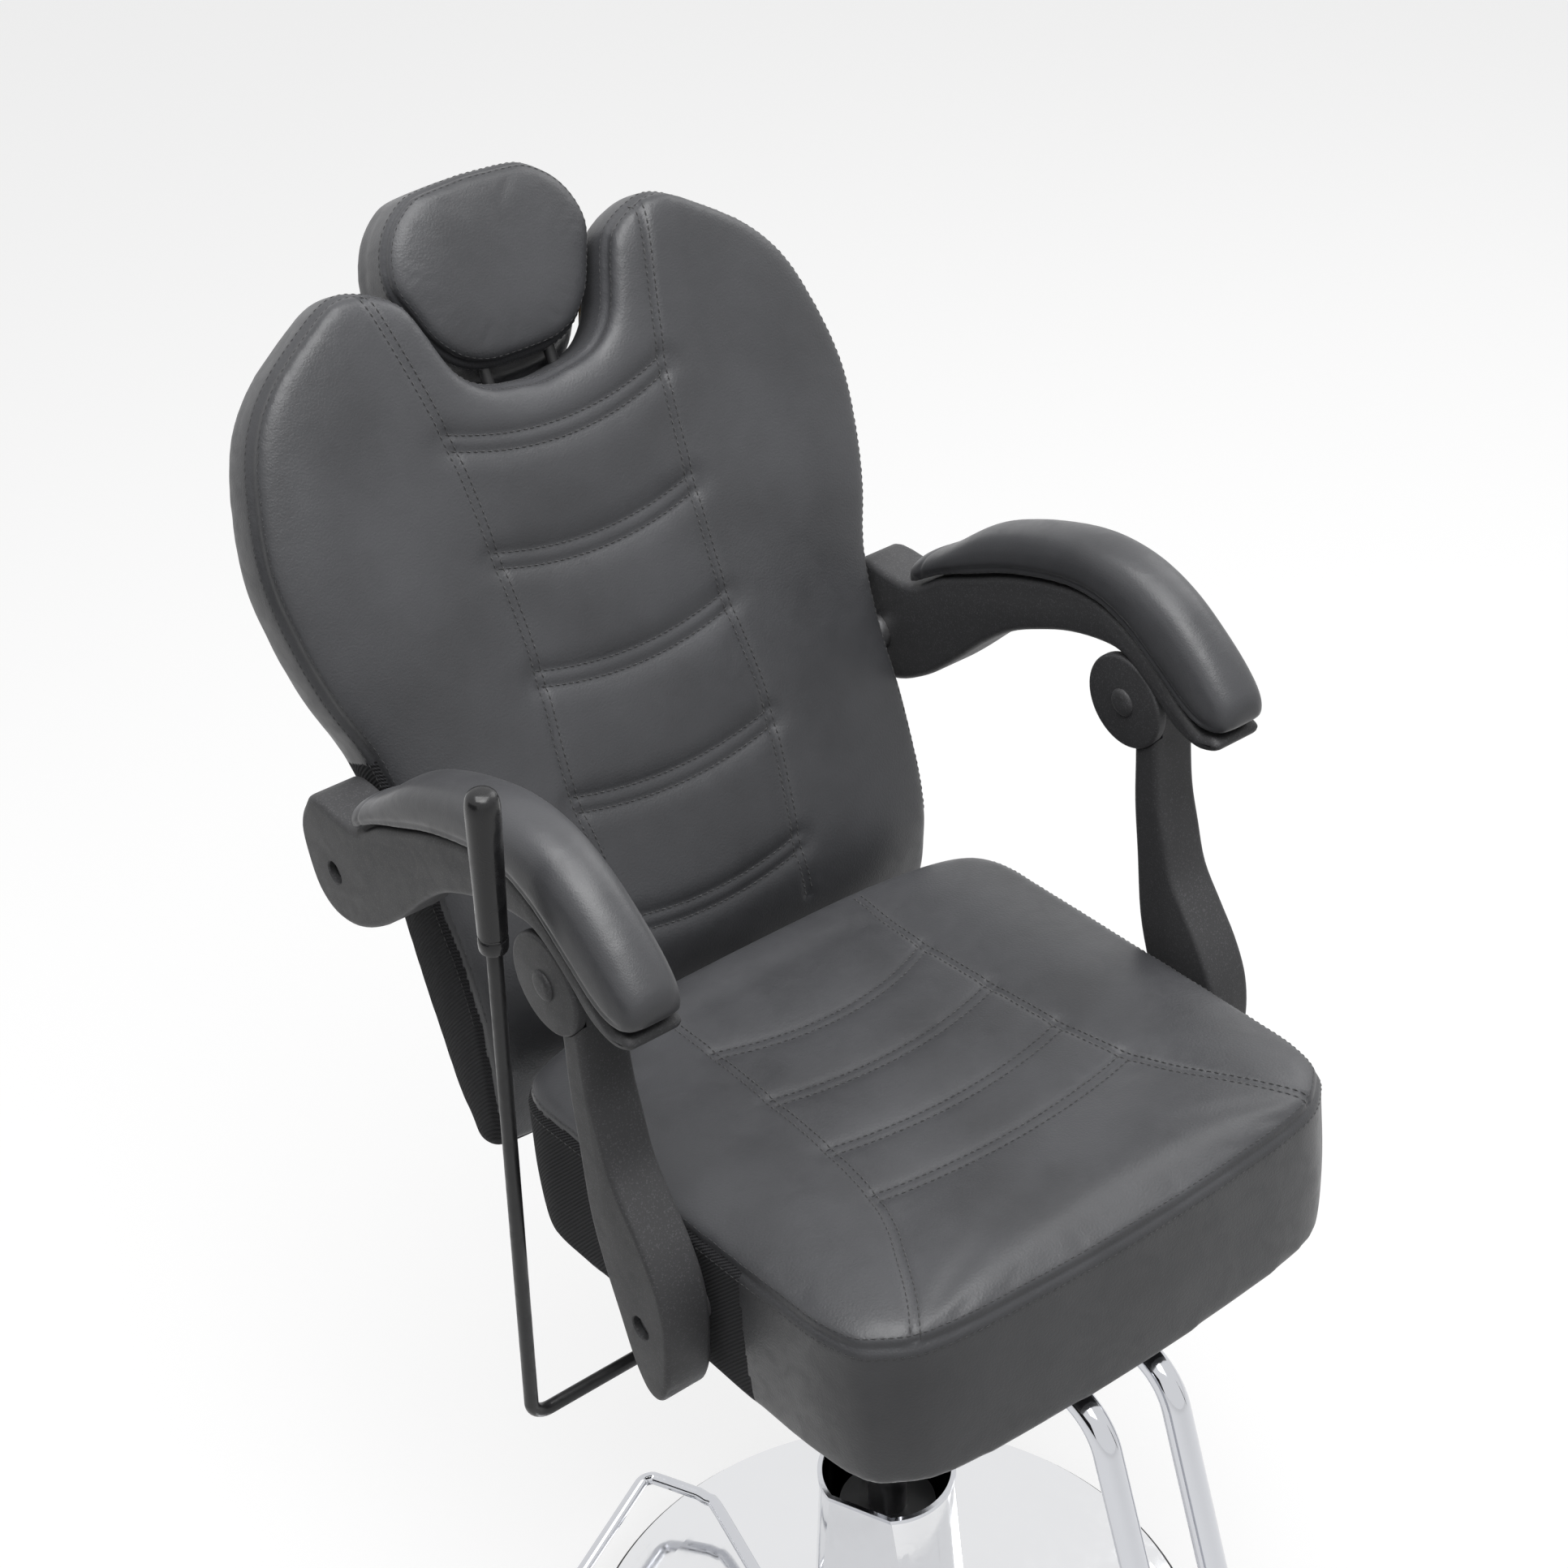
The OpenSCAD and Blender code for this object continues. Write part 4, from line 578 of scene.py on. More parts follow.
def ringed(name, rings):
    """A piece through rings of equal counts, with one flat face at each end."""
    rows, n = len(rings), len(rings[0])
    ends = [tuple(range(n)), tuple(reversed(range((rows - 1) * n, rows * n)))]
    return mesh_object(name, [p for ring in rings for p in ring], ring_faces(rows, n) + ends)


def circle(count):
    """Cosine and sine of count even steps of a turn."""
    return [(math.cos(2 * math.pi * i / count), math.sin(2 * math.pi * i / count)) for i in range(count)]


def loft(rings, cap):
    """Points and faces of a closed form through rings; cap lists the faces that close one ring."""
    last = (len(rings) - 1) * len(rings[0])
    faces = ring_faces(len(rings), len(rings[0])) + [tuple(f) for f in cap]
    return np.vstack(rings), faces + [tuple(p + last for p in reversed(f)) for f in cap]


def seat_form():
    half = refine(SEAT_OUTLINE, 3)
    rings = []
    for inset, drop, rise in rings_of(SEAT_BAND, SEAT_PANEL):
        y = half[:, 1] * SEAT_DEPTH
        heart = np.clip(y, 0.2 * SEAT_DEPTH, 0.72 * SEAT_DEPTH)
        rings.append(full_ring(np.stack([half[:, 0] * SEAT_HALF * (1 - inset), -(y + (heart - y) * inset),
            np.full(len(y), -SEAT_SEAM - drop * (SEAT_THICK - SEAT_SEAM) + rise * SEAT_CROWN)], 1)))
    n = len(rings[0])
    return loft(rings, ladder([((n - i) % n, i) for i in range(len(half))]))


def depth_at(table, u):
    return BACK_TOP * np.interp(u / BACK_HEIGHT, [r[0] for r in table], [r[1] for r in table])


def back_halves():
    half = [(x * BACK_HALF, u * BACK_HEIGHT) for x, u in BACK_OUTLINE] \
        + [(x * BACK_HALF, -u * BACK_DROP) for x, u in BACK_LOW]
    heart = []
    for i, (x, u) in enumerate(half):
        if i <= 2 * LOBE_TOP:
            s = LOBE_SPINE[abs(i - LOBE_TOP)]
            heart.append((s[0] * BACK_HALF, s[1] * BACK_HEIGHT))
        else:
            heart.append((0, max(-0.55 * BACK_DROP, min(0.5 * BACK_HEIGHT, u))))
    return np.hstack([np.array(half), np.array(heart)])


def back_form():
    k = 3
    rows = refine(back_halves(), k)
    rings = []
    for inset, band, rise in rings_of(BACK_BAND, BACK_PANEL):
        p = rows[:, :2] + (rows[:, 2:] - rows[:, :2]) * inset
        edge, crown, rear = (depth_at(t, p[:, 1]) for t in (EDGE_DEPTH, CROWN_DEPTH, REAR_DEPTH))
        v = edge + (rear + 0.001 - edge) * band - (edge - crown) * rise
        rings.append(full_ring(np.stack([p[:, 0], v, p[:, 1]], 1)))
    n, top, notch = len(rings[0]), LOBE_TOP * k, 2 * LOBE_TOP * k
    cap = ladder([(top - j, top + j) for j in range(top + 1)])
    cap += ladder([((n - top + j) % n, n - top - j) for j in range(top + 1)])
    cap += [(0, notch, n - notch)]
    cap += ladder([((n - i) % n, i) for i in range(notch, len(rows))])
    return loft(rings, cap)


def head_ring(inset, band, rise, tuck):
    """One ring of the headrest; tuck lifts its foot, as the seam of the front panel lies higher there."""
    half = refine(HEAD_OUTLINE, 3)
    q = half + (np.array([0, 0.5]) - half) * inset
    high = HEAD_TUCK * tuck
    depth = np.full(len(q), HEAD_SEAM_V + (band - 0.2 * rise) * HEAD_THICK)
    return full_ring(np.stack([q[:, 0] * HEAD_HALF, depth,
        HEAD_FOOT + high + q[:, 1] * (HEAD_HEIGHT - high)], 1))


def head_form():
    rings = [head_ring(*row) for row in rings_of(HEAD_BAND, HEAD_PANEL)]
    n = len(rings[0])
    return loft(rings, ladder([((n - i) % n, i) for i in range(n // 2 + 1)]))


# Upholstery

def eased(item, rounds):
    """Apply a piece's modifiers with a last one that evens its surface."""
    ease = item.modifiers.new("ease", "CORRECTIVE_SMOOTH")
    ease.iterations = rounds
    ease.use_only_smooth = True
    apply_all(item)


def evened(item, voxel, rounds=6):
    """Remake a closed form with even faces, and ease it."""
    pick(item)
    item.data.remesh_voxel_size = voxel
    bpy.ops.object.voxel_remesh()
    eased(item, rounds)
    return item


def ironed(item, weight, rounds):
    """Ease a surface by its neighbours' mean, as far as each point's weight allows."""
    count = len(item.data.vertices)
    flat = np.zeros(len(item.data.edges) * 2, np.int64)
    item.data.edges.foreach_get("vertices", flat)
    a, b = flat[0::2], flat[1::2]
    links = np.maximum(np.bincount(a, minlength=count) + np.bincount(b, minlength=count), 1)[:, None]
    place = points_of(item)
    for _ in range(rounds):
        mean = np.stack([np.bincount(a, place[b, k], count) + np.bincount(b, place[a, k], count)
            for k in range(3)], 1) / links
        place = place + (mean - place) * weight[:, None] * 0.6
    set_points(item, place)


def swell(item, look, hold, cap):
    """Let pressure fill a cushion as cloth; hold is 1 where a point stays, cap the most it may move."""
    rest = points_of(item)
    pins = item.vertex_groups.new(name="held")
    for level in np.unique(np.round(hold, 1)):
        if level > 0:
            pins.add([int(i) for i in np.where(np.round(hold, 1) == level)[0]], float(level), "REPLACE")
    cloth = item.modifiers.new("foam", "CLOTH")
    cloth.settings.quality = 5
    cloth.settings.mass = 0.3
    cloth.settings.use_pressure = True
    cloth.settings.uniform_pressure_force = look.pressure
    cloth.settings.effector_weights.gravity = 0
    cloth.settings.tension_stiffness = 12
    cloth.settings.compression_stiffness = 12
    cloth.settings.bending_stiffness = 0.4
    cloth.settings.vertex_group_mass = "held"
    cloth.point_cache.frame_start = 1
    cloth.point_cache.frame_end = look.frames + 1
    for step in range(1, look.frames + 1):
        bpy.context.scene.frame_set(step)
    made = item.evaluated_get(bpy.context.evaluated_depsgraph_get())
    flat = np.zeros(len(rest) * 3)
    made.data.vertices.foreach_get("co", flat)
    move = flat.reshape(-1, 3) - rest
    far = np.linalg.norm(move, axis=1, keepdims=True)
    move *= np.minimum(1, cap / np.maximum(far, 1e-9)) * (1 - hold[:, None])
    item.modifiers.remove(cloth)
    item.vertex_groups.clear()
    bpy.context.scene.frame_set(1)
    set_points(item, rest + move)


def subdivided(item):
    step = item.modifiers.new("fine", "SUBSURF")
    step.levels = step.render_levels = 1
    eased(item, 2)


def normals_of(item):
    flat = np.zeros(len(item.data.vertices) * 3)
    item.data.vertices.foreach_get("normal", flat)
    return flat.reshape(-1, 3)


def press_in(item, depth):
    """Move each point inward along its normal by its depth."""
    set_points(item, points_of(item) - normals_of(item) * depth[:, None])


def dip(distance, deep, wide):
    return deep * np.exp(-(distance / wide) ** 2)


def channel_lines(table, half, deep, sign):
    """The middle of each sewn channel, on the local plane of a cushion's face, from [width, place, bow]."""
    t = np.linspace(-1, 1, 25)
    return [np.stack([t * wide * half, (sign * at - bow * (1 - t * t)) * deep], 1) for wide, at, bow in table]


def strip_edges(lines, wide):
    """Both rows of stitches beside the middle of each channel."""
    return [line + np.array([0, side * wide / 2]) for line in lines for side in (-1, 1)]


def past_strip(points, lines, wide):
    """How far points lie outside the flat strips of the channels."""
    return np.maximum(nearest_of(points, lines) - wide / 2, 0)


def seam_lines(table, half, deep, sign):
    rows = refine(table, 5)
    return [np.stack([side * rows[:, 0] * half, sign * rows[:, 1] * deep], 1) for side in (-1, 1)]


def nearest_of(points, lines):
    return np.min([line_distance(points, line) for line in lines], axis=0)


def offset_line(line, by):
    """A 2D line moved sideways by a distance."""
    way = np.gradient(line, axis=0)
    way /= np.linalg.norm(way, axis=1, keepdims=True)
    return line + np.stack([-way[:, 1], way[:, 0]], 1) * by


def beside(seams):
    """Both rows of stitches beside each seam."""
    return [offset_line(line, by) for line in seams for by in (SEAM_HALF, -SEAM_HALF)]


def dropped(tree, place, drop):
    """The spot and normal of a surface below a point, or nearest to it where there is none."""
    spot, normal = None, None
    if drop is not None:
        spot, normal, _, _ = tree.ray_cast(Vector(place) - drop * 0.08, drop, 0.2)
    if spot is None:
        spot, normal, _, _ = tree.find_nearest(Vector(place))
    return np.array(spot), np.array(normal)


def stitch(run, fine):
    """Points of one short twist of thread over four spots of a surface."""
    points = []
    for k, (spot, normal) in enumerate(run):
        way = run[min(k + 1, 3)][0] - run[max(k - 1, 0)][0]
        way /= max(np.linalg.norm(way), 1e-9)
        side = np.cross(way, normal)
        side /= max(np.linalg.norm(side), 1e-9)
        high = (-0.4, 0.6, 0.6, -0.4)[k] * fine
        fat = (0.55, 1.0, 1.0, 0.55)[k] * fine
        for a in range(STITCH_SIDES):
            turn = a * 2 * math.pi / STITCH_SIDES
            points.append(spot + normal * (high + fat * math.sin(turn)) + side * fat * math.cos(turn))
    return points


def sewn(name, item, lines, look, body):
    """Raised thread on a piece, one twist for each stitch. A line comes with the way in which it is dropped
    on the surface, or with None on an outer edge, where it goes to the nearest point and is finer."""
    tree = BVHTree.FromPolygons([v.co for v in item.data.vertices], [p.vertices for p in item.data.polygons])
    twist = ring_faces(4, STITCH_SIDES)
    twist += [tuple(range(STITCH_SIDES - 1, -1, -1)), tuple(range(3 * STITCH_SIDES, 4 * STITCH_SIDES))]
    points, faces = [], []
    for line, drop in lines:
        row = spline(line, max(3, int(length_of(line) / (look.stitch * 1.22) * 4) + 1))
        on = [dropped(tree, place, drop) for place in row]
        for i in range(0, len(on) - 4, 4):
            faces += [tuple(len(points) + corner for corner in face) for face in twist]
            points += stitch(on[i:i + 4], THREAD_EDGE_R if drop is None else THREAD_R)
    thread = mesh_object(name, points, faces)
    smooth(thread, 60)
    give(thread, "thread")
    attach(thread, body)
    return thread


# Cushions, pads and their thread

class CHAIR_OT_seat(bpy.types.Operator):
    """Upholster the seat: leather panel with four sewn channels over a cloth band"""
    bl_idname = "chair.seat"
    bl_label = "Seat cushion"

    def execute(self, context):
        look = context.scene.chair_look
        points, faces = seat_form()
        item = evened(mesh_object("seat_upholstery", from_axes(SEAT_AXES, points), faces), look.voxel)
        seams = seam_lines(SEAT_SEAMS, SEAT_HALF, SEAT_DEPTH, -1)
        mids = channel_lines(SEAT_CHANNELS, SEAT_HALF, SEAT_DEPTH, -1)
        rows = strip_edges(mids, SEAT_STRIP)
        rim = refine(SEAT_OUTLINE, 3) * np.array([SEAT_HALF, -SEAT_DEPTH])
        rim = np.vstack([rim, rim[::-1] * np.array([-1, 1])])
        place = in_axes(SEAT_AXES, points_of(item))
        near = np.minimum(past_strip(place[:, :2], mids, SEAT_STRIP), nearest_of(place[:, :2], seams))
        top = np.clip((place[:, 2] + 0.030) / 0.03, 0, 1) * np.clip(-place[:, 1] / 0.06, 0, 1)
        side = np.clip((0.232 - np.abs(place[:, 0])) / 0.012, 0, 1)
        hold = 1 - top * np.maximum(side, 0.15) * (1 - dip(near, 0.75, 0.010))
        swell(item, look, np.clip(hold, 0, 1), 0.007)
        subdivided(item)
        place = in_axes(SEAT_AXES, points_of(item))
        up = np.clip(normals_of(item) @ np.array(SEAT_AXES.to_3x3().col[2]), 0, 1)
        flat = (up > 0.45) * np.clip(-place[:, 1] / 0.03, 0, 1)
        strip = past_strip(place[:, :2], mids, SEAT_STRIP)
        cut = nearest_of(place[:, :2], rows)
        seam = nearest_of(place[:, :2], seams)
        band = np.sqrt(line_distance(place[:, :2], rim) ** 2 + (place[:, 2] + SEAT_SEAM) ** 2)
        sunk = dip(strip, 0.0011, 0.0075) + dip(cut, 0.0008, 0.0030) + dip(seam, 0.0018, 0.0040)
        press_in(item, flat * sunk + dip(band, 0.0030, 0.0042))
        smooth(item, 60)
        give(item, "leather")
        item.data.materials.append(FINISHES["mesh cloth"])
        low = -SEAT_SEAM - 0.001
        for face in item.data.polygons:
            spot = SEAT_AXES.inverted() @ Vector(face.center)
            if spot.z < low and spot.y > -0.66 * SEAT_DEPTH and spot.z > -SEAT_THICK + 0.006:
                face.material_index = 1
        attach(item, "seat")
        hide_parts("seat_cushion")
        down = -SEAT_AXES.to_3x3().col[2]
        lines = [(line, 0.0, down) for line in rows + beside(seams)]
        lines += [(rim * np.array([0.985, 0.988]), 0.0, None),
            (rim * np.array([1.004, 1.002]), -0.0135, None)]
        world = [(from_axes(SEAT_AXES, np.column_stack([line, np.full(len(line), z)])), drop)
            for line, z, drop in lines]
        sewn("seat_thread", item, world, look, "seat")
        return {"FINISHED"}


class CHAIR_OT_back(bpy.types.Operator):
    """Upholster the back: two lobes, five sewn channels and side bands"""
    bl_idname = "chair.back"
    bl_label = "Back cushion"

    def execute(self, context):
        look = context.scene.chair_look
        points, faces = back_form()
        item = mesh_object("back_upholstery", from_axes(BACK_AXES, points), faces)
        bpy.ops.mesh.primitive_cube_add(size=1)
        cutter = context.object
        cutter.data.transform(BACK_AXES @ Matrix.Translation((0, 0.1, -0.6 * BACK_DROP - 0.1))
            @ Matrix.Diagonal((0.28, 0.4, 0.2, 1)))
        gap = item.modifiers.new("hinge gap", "BOOLEAN")
        gap.object = cutter
        gap.operation = "DIFFERENCE"
        apply_all(item)
        bpy.data.objects.remove(cutter)
        evened(item, look.voxel * 1.1)
        seams = seam_lines(BACK_SEAMS, BACK_HALF, BACK_HEIGHT, 1)
        mids = channel_lines(BACK_CHANNELS, BACK_HALF, BACK_HEIGHT, 1)
        rows = strip_edges(mids, BACK_STRIP)
        half = refine(back_halves(), 3)[:, :2]
        rim = np.vstack([half, half[::-1] * np.array([-1, 1])])
        place = in_axes(BACK_AXES, points_of(item))
        ahead = place[:, 1] < depth_at(EDGE_DEPTH, place[:, 2])
        ironed(item, np.clip((line_distance(place[:, [0, 2]], rim) - 0.006) / 0.02, 0, 1) * ahead, 60)
        place = in_axes(BACK_AXES, points_of(item))
        face = place[:, [0, 2]]
        near = np.minimum(past_strip(face, mids, BACK_STRIP), nearest_of(face, seams))
        edge = line_distance(face, rim)
        crown = depth_at(CROWN_DEPTH, place[:, 2])
        front = np.clip((crown + 0.03 - place[:, 1]) / 0.03, 0, 1)
        front *= np.clip((place[:, 2] - 0.02) / 0.06, 0, 1)
        hold = 1 - front * np.clip(edge / 0.02, 0, 1) * (1 - dip(near, 0.9, 0.009))
        head = np.hypot(np.abs(place[:, 0]), place[:, 2] - 0.574) < 0.135
        hold = np.where(head & (np.abs(place[:, 0]) < 0.10), 1, hold)
        swell(item, look, np.clip(hold, 0, 1), 0.009)
        subdivided(item)
        place = in_axes(BACK_AXES, points_of(item))
        face = place[:, [0, 2]]
        out = np.clip(-(normals_of(item) @ np.array(BACK_AXES.to_3x3().col[1])), 0, 1) > 0.4
        strip = past_strip(face, mids, BACK_STRIP)
        cut = nearest_of(face, rows)
        seam = nearest_of(face, seams)
        depth = depth_at(EDGE_DEPTH, place[:, 2])
        band = np.sqrt(line_distance(face, rim) ** 2 + (place[:, 1] - depth) ** 2)
        rear = depth_at(REAR_DEPTH, place[:, 2])
        hem = np.sqrt(line_distance(face * np.array([1 / 0.965, 1]), rim) ** 2 + (place[:, 1] - rear) ** 2)
        sunk = dip(strip, 0.0022, 0.0090) + dip(cut, 0.0010, 0.0032) + dip(seam, 0.0020, 0.0042)
        press_in(item, out * sunk + dip(band, 0.0026, 0.0044) + dip(hem, 0.0022, 0.0040))
        smooth(item, 60)
        give(item, "leather")
        item.data.materials.append(FINISHES["mesh cloth"])
        inverse = BACK_AXES.inverted()
        way = BACK_AXES.to_3x3().col[1]
        for poly in item.data.polygons:
            spot = inverse @ Vector(poly.center)
            upright = abs(poly.normal.dot(way)) < 0.75
            behind = spot.y > float(depth_at(EDGE_DEPTH, spot.z)) + 0.002
            if spot.z < 0.43 * BACK_HEIGHT and upright and behind:
                poly.material_index = 1
        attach(item, "back")
        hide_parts("back_cushion")
        world = [(from_axes(BACK_AXES, np.stack([line[:, 0], np.zeros(len(line)), line[:, 1]], 1)), way)
            for line in rows + beside(seams)]
        side = half[half[:, 1] > 0.02 * BACK_HEIGHT]
        for sign in (-1, 1):
            deep = depth_at(EDGE_DEPTH, side[:, 1])
            inner = np.stack([sign * side[:, 0] * 0.975, deep - 0.004, side[:, 1] * 0.992], 1)
            outer = np.stack([sign * side[:, 0], deep + 0.008, side[:, 1]], 1)
            world += [(from_axes(BACK_AXES, inner), None), (from_axes(BACK_AXES, outer), None)]
        sewn("back_thread", item, world, look, "back")
        return {"FINISHED"}


class CHAIR_OT_headrest(bpy.types.Operator):
    """Upholster the headrest: a small crowned cushion with a sewn rim"""
    bl_idname = "chair.headrest"
    bl_label = "Headrest"

    def execute(self, context):
        look = context.scene.chair_look
        points, faces = head_form()
        item = evened(mesh_object("headrest_upholstery", from_axes(BACK_AXES, points), faces),
            look.voxel * 0.7)
        place = in_axes(BACK_AXES, points_of(item))
        seam = head_ring(0, 0, 0, 1)
        rim = np.vstack([seam, seam[:1]])[:, [0, 2]]
        edge = line_distance(place[:, [0, 2]], rim)
        front = np.clip((HEAD_SEAM_V - place[:, 1]) / 0.01, 0, 1)
        swell(item, look, np.clip(1 - front * np.clip(edge / 0.012, 0, 1), 0, 1), 0.006)
        subdivided(item)
        place = in_axes(BACK_AXES, points_of(item))
        band = np.sqrt(line_distance(place[:, [0, 2]], rim) ** 2 + (place[:, 1] - HEAD_SEAM_V) ** 2)
        press_in(item, dip(band, 0.0024, 0.0034))
        smooth(item, 60)
        give(item, "leather")
        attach(item, "headrest")
        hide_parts("headrest_cushion")
        world = []
        for row in ((0.05, 0, 0.4, 1), (0, 0.11, 0, 0.75)):
            ring = head_ring(*row)
            world.append((from_axes(BACK_AXES, np.vstack([ring, ring[:1]])), None))
        sewn("headrest_thread", item, world, look, "headrest")
        return {"FINISHED"}


# Arms: rails, struts, pads and knuckles. Outlines are [y, z] shares of a reach from a pivot

PIVOT_REAR = np.array([0.289, 0.888])
KNUCKLE = np.array([-0.011, 0.964])
STRUT_FOOT = np.array([-0.088, 0.698])
ARM_REACH = 0.300
ARM_IN = 0.241
ARM_T = 0.046
STRUT_T = 0.040
EAR_T = 0.010
GAP = 0.0005
ARM_OUT = ARM_IN + ARM_T
BOLT_R = 0.0061
KNUCKLE_R = 0.039
HEAD_R = 0.030
COUNTER_R = 0.0095
COUNTER_DEEP = 0.014
PAD_IN = 0.237
PAD_W = 0.055
RAIL = [(0.15, -0.02), (0.16, 0.07), (0.12, 0.15), (0.06, 0.2), (-0.14, 0.207), (-0.27, 0.29),
    (-0.41, 0.357), (-0.54, 0.417), (-0.67, 0.463), (-0.79, 0.493), (-0.89, 0.497), (-1.007, 0.463),
    (-1.123, 0.393), (-1.2, 0.33), (-1.267, 0.293), (-1.313, 0.3), (-1.335, 0.285), (-1.32, 0.262),
    (-1.26, 0.245), (-1.18, 0.265), (-1.1, 0.325), (-1, 0.385), (-0.92, 0.39), (-0.79, 0.36), (-0.67, 0.31),
    (-0.557, 0.25), (-0.447, 0.163), (-0.307, 0.03), (-0.2, -0.06), (-0.08, -0.13), (0.03, -0.15),
    (0.11, -0.11)]
STRUT = [(0.3, 1.02), (0.25, 0.9), (0.241, 0.816), (0.237, 0.65), (0.22, 0.48), (0.2, 0.274), (0.16, 0.123),
    (0.106, -0.02), (0.055, -0.15), (0, -0.225), (-0.06, -0.225), (-0.1, -0.14), (-0.115, -0.02),
    (-0.117, 0.08), (-0.1, 0.175), (-0.055, 0.27), (0.008, 0.36), (0.075, 0.46), (0.11, 0.58), (0.14, 0.7),
    (0.155, 0.86), (0.17, 1)]
PAD_STATIONS = [(-0.135, 0.225, 0.262, 0.72), (-0.16, 0.226, 0.3, 0.93), (-0.27, 0.297, 0.375, 1),
    (-0.41, 0.364, 0.485, 1), (-0.54, 0.424, 0.55, 1), (-0.67, 0.47, 0.598, 1), (-0.79, 0.5, 0.63, 1),
    (-0.9, 0.504, 0.64, 1), (-1.01, 0.47, 0.63, 1), (-1.12, 0.4, 0.592, 1), (-1.22, 0.335, 0.525, 1),
    (-1.28, 0.311, 0.475, 0.96), (-1.325, 0.314, 0.43, 0.85), (-1.35, 0.325, 0.4, 0.66),
    (-1.36, 0.34, 0.37, 0.42)]
PAD_SECTION = [(0.03, 0), (0, 0.2), (0.01, 0.45), (0.07, 0.72), (0.2, 0.91), (0.38, 0.99), (0.5, 1),
    (0.62, 0.99), (0.8, 0.91), (0.93, 0.72), (0.99, 0.45), (1, 0.2), (0.97, 0)]


def closed_outline(points, k=4):
    """A closed outline eased through its points."""
    ends = np.vstack([points[-1], points, points[:2]])
    return np.array([between(*ends[i:i + 4], t) for i in range(len(points)) for t in np.arange(k) / k])


def drawn_in(outline, by):
    """A closed outline moved inward."""
    way = np.roll(outline, -1, 0) - np.roll(outline, 1, 0)
    way /= np.linalg.norm(way, axis=1, keepdims=True)
    out = np.stack([way[:, 1], -way[:, 0]], 1)
    area = np.sum(outline[:, 0] * np.roll(outline[:, 1], -1) - np.roll(outline[:, 0], -1) * outline[:, 1])
    return outline - out * by * np.sign(area)


def rounded_ends(x0, x1, round_off):
    """Places along X and insets of the rings that round both rims of a slab or disc."""
    steps = [(0.0, 1.0), (0.08, 0.62), (0.29, 0.29), (0.62, 0.08), (1.0, 0.0)]
    return [(x0 + a * round_off, b * round_off) for a, b in steps] \
        + [(x1 - a * round_off, b * round_off) for a, b in reversed(steps)]


def rounded_slab(name, outline, x0, x1, round_off, side):
    """A slab across X with rounded rims; side mirrors it."""
    return ringed(name, [[(side * x, y, z) for y, z in drawn_in(outline, inset)]
        for x, inset in rounded_ends(x0, x1, round_off)])


def turned_x(name, profile, centre, side, count=64):
    """A form turned about a line along X through centre; profile gives [x, radius]."""
    return ringed(name, [[(side * x, centre[0] + r * c, centre[1] + r * s) for c, s in circle(count)]
        for x, r in profile])


def disc_profile(x0, x1, r, round_off):
    return [(x, r - inset) for x, inset in rounded_ends(x0, x1, round_off)]


def joined(item, other, how):
    step = item.modifiers.new(how, "BOOLEAN")
    step.object = other
    step.operation = how
    step.solver = "EXACT"
    apply_all(item)
    bpy.data.objects.remove(other)
    return item


def bored(item, r, pivot, side):
    """Drill a piece right through along X."""
    joined(item, turned_x("bore", [(ARM_IN - 0.01, r), (ARM_OUT + 0.01, r)], pivot, side, 32), "DIFFERENCE")


def countersunk(item, x, pivot, side):
    """Sink a bolt head's seat, with a broken edge, into a piece's outer face at x."""
    joined(item, turned_x("counterbore", [(x - COUNTER_DEEP, COUNTER_R), (x - 0.001, COUNTER_R),
        (x + 0.001, COUNTER_R + 0.002)], pivot, side, 48), "DIFFERENCE")


def arm_rail(side, label):
    """The moulded rail, with two ears round the knuckle."""
    rail = rounded_slab("arm_rail_" + label, closed_outline(PIVOT_REAR + np.array(RAIL) * ARM_REACH), ARM_IN,
        ARM_OUT, 0.006, side)
    slot = [(ARM_IN + EAR_T, KNUCKLE_R + GAP), (ARM_OUT - EAR_T, KNUCKLE_R + GAP)]
    joined(rail, turned_x("slot", slot, KNUCKLE, side), "DIFFERENCE")
    for x0, x1 in ((ARM_IN, ARM_IN + EAR_T), (ARM_OUT - EAR_T, ARM_OUT)):
        joined(rail, turned_x("ear", disc_profile(x0, x1, KNUCKLE_R, 0.003), KNUCKLE, side), "UNION")
    bored(rail, 0.0052, KNUCKLE, side)
    bored(rail, BOLT_R, PIVOT_REAR, side)
    countersunk(rail, ARM_OUT, PIVOT_REAR, side)
    smooth(rail, 32)
    give(rail, "nylon")
    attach(rail, "armrest_" + label)
    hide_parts("arm_shell_" + label)


def arm_strut(side, label):
    """The moulded strut, whose head turns between the ears of the rail."""
    reach = float(np.linalg.norm(KNUCKLE - STRUT_FOOT))
    x0 = ARM_IN + (ARM_T - STRUT_T) / 2
    x1 = x0 + STRUT_T
    head = (ARM_IN + EAR_T + GAP, ARM_OUT - EAR_T - GAP)
    strut = rounded_slab("arm_strut_" + label, closed_outline(STRUT_FOOT + np.array(STRUT) * reach), x0, x1,
        0.005, side)
    for a, b in ((ARM_IN - 0.01, head[0]), (head[1], ARM_OUT + 0.01)):
        joined(strut, turned_x("clear", [(a, KNUCKLE_R + GAP), (b, KNUCKLE_R + GAP)], KNUCKLE, side),
            "DIFFERENCE")
    joined(strut, turned_x("head", disc_profile(*head, HEAD_R, 0.001), KNUCKLE, side), "UNION")
    bored(strut, 0.0055, KNUCKLE, side)
    bored(strut, BOLT_R, STRUT_FOOT, side)
    countersunk(strut, x1, STRUT_FOOT, side)
    smooth(strut, 32)
    give(strut, "nylon")
    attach(strut, "strut_" + label)
    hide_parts("strut_" + label)


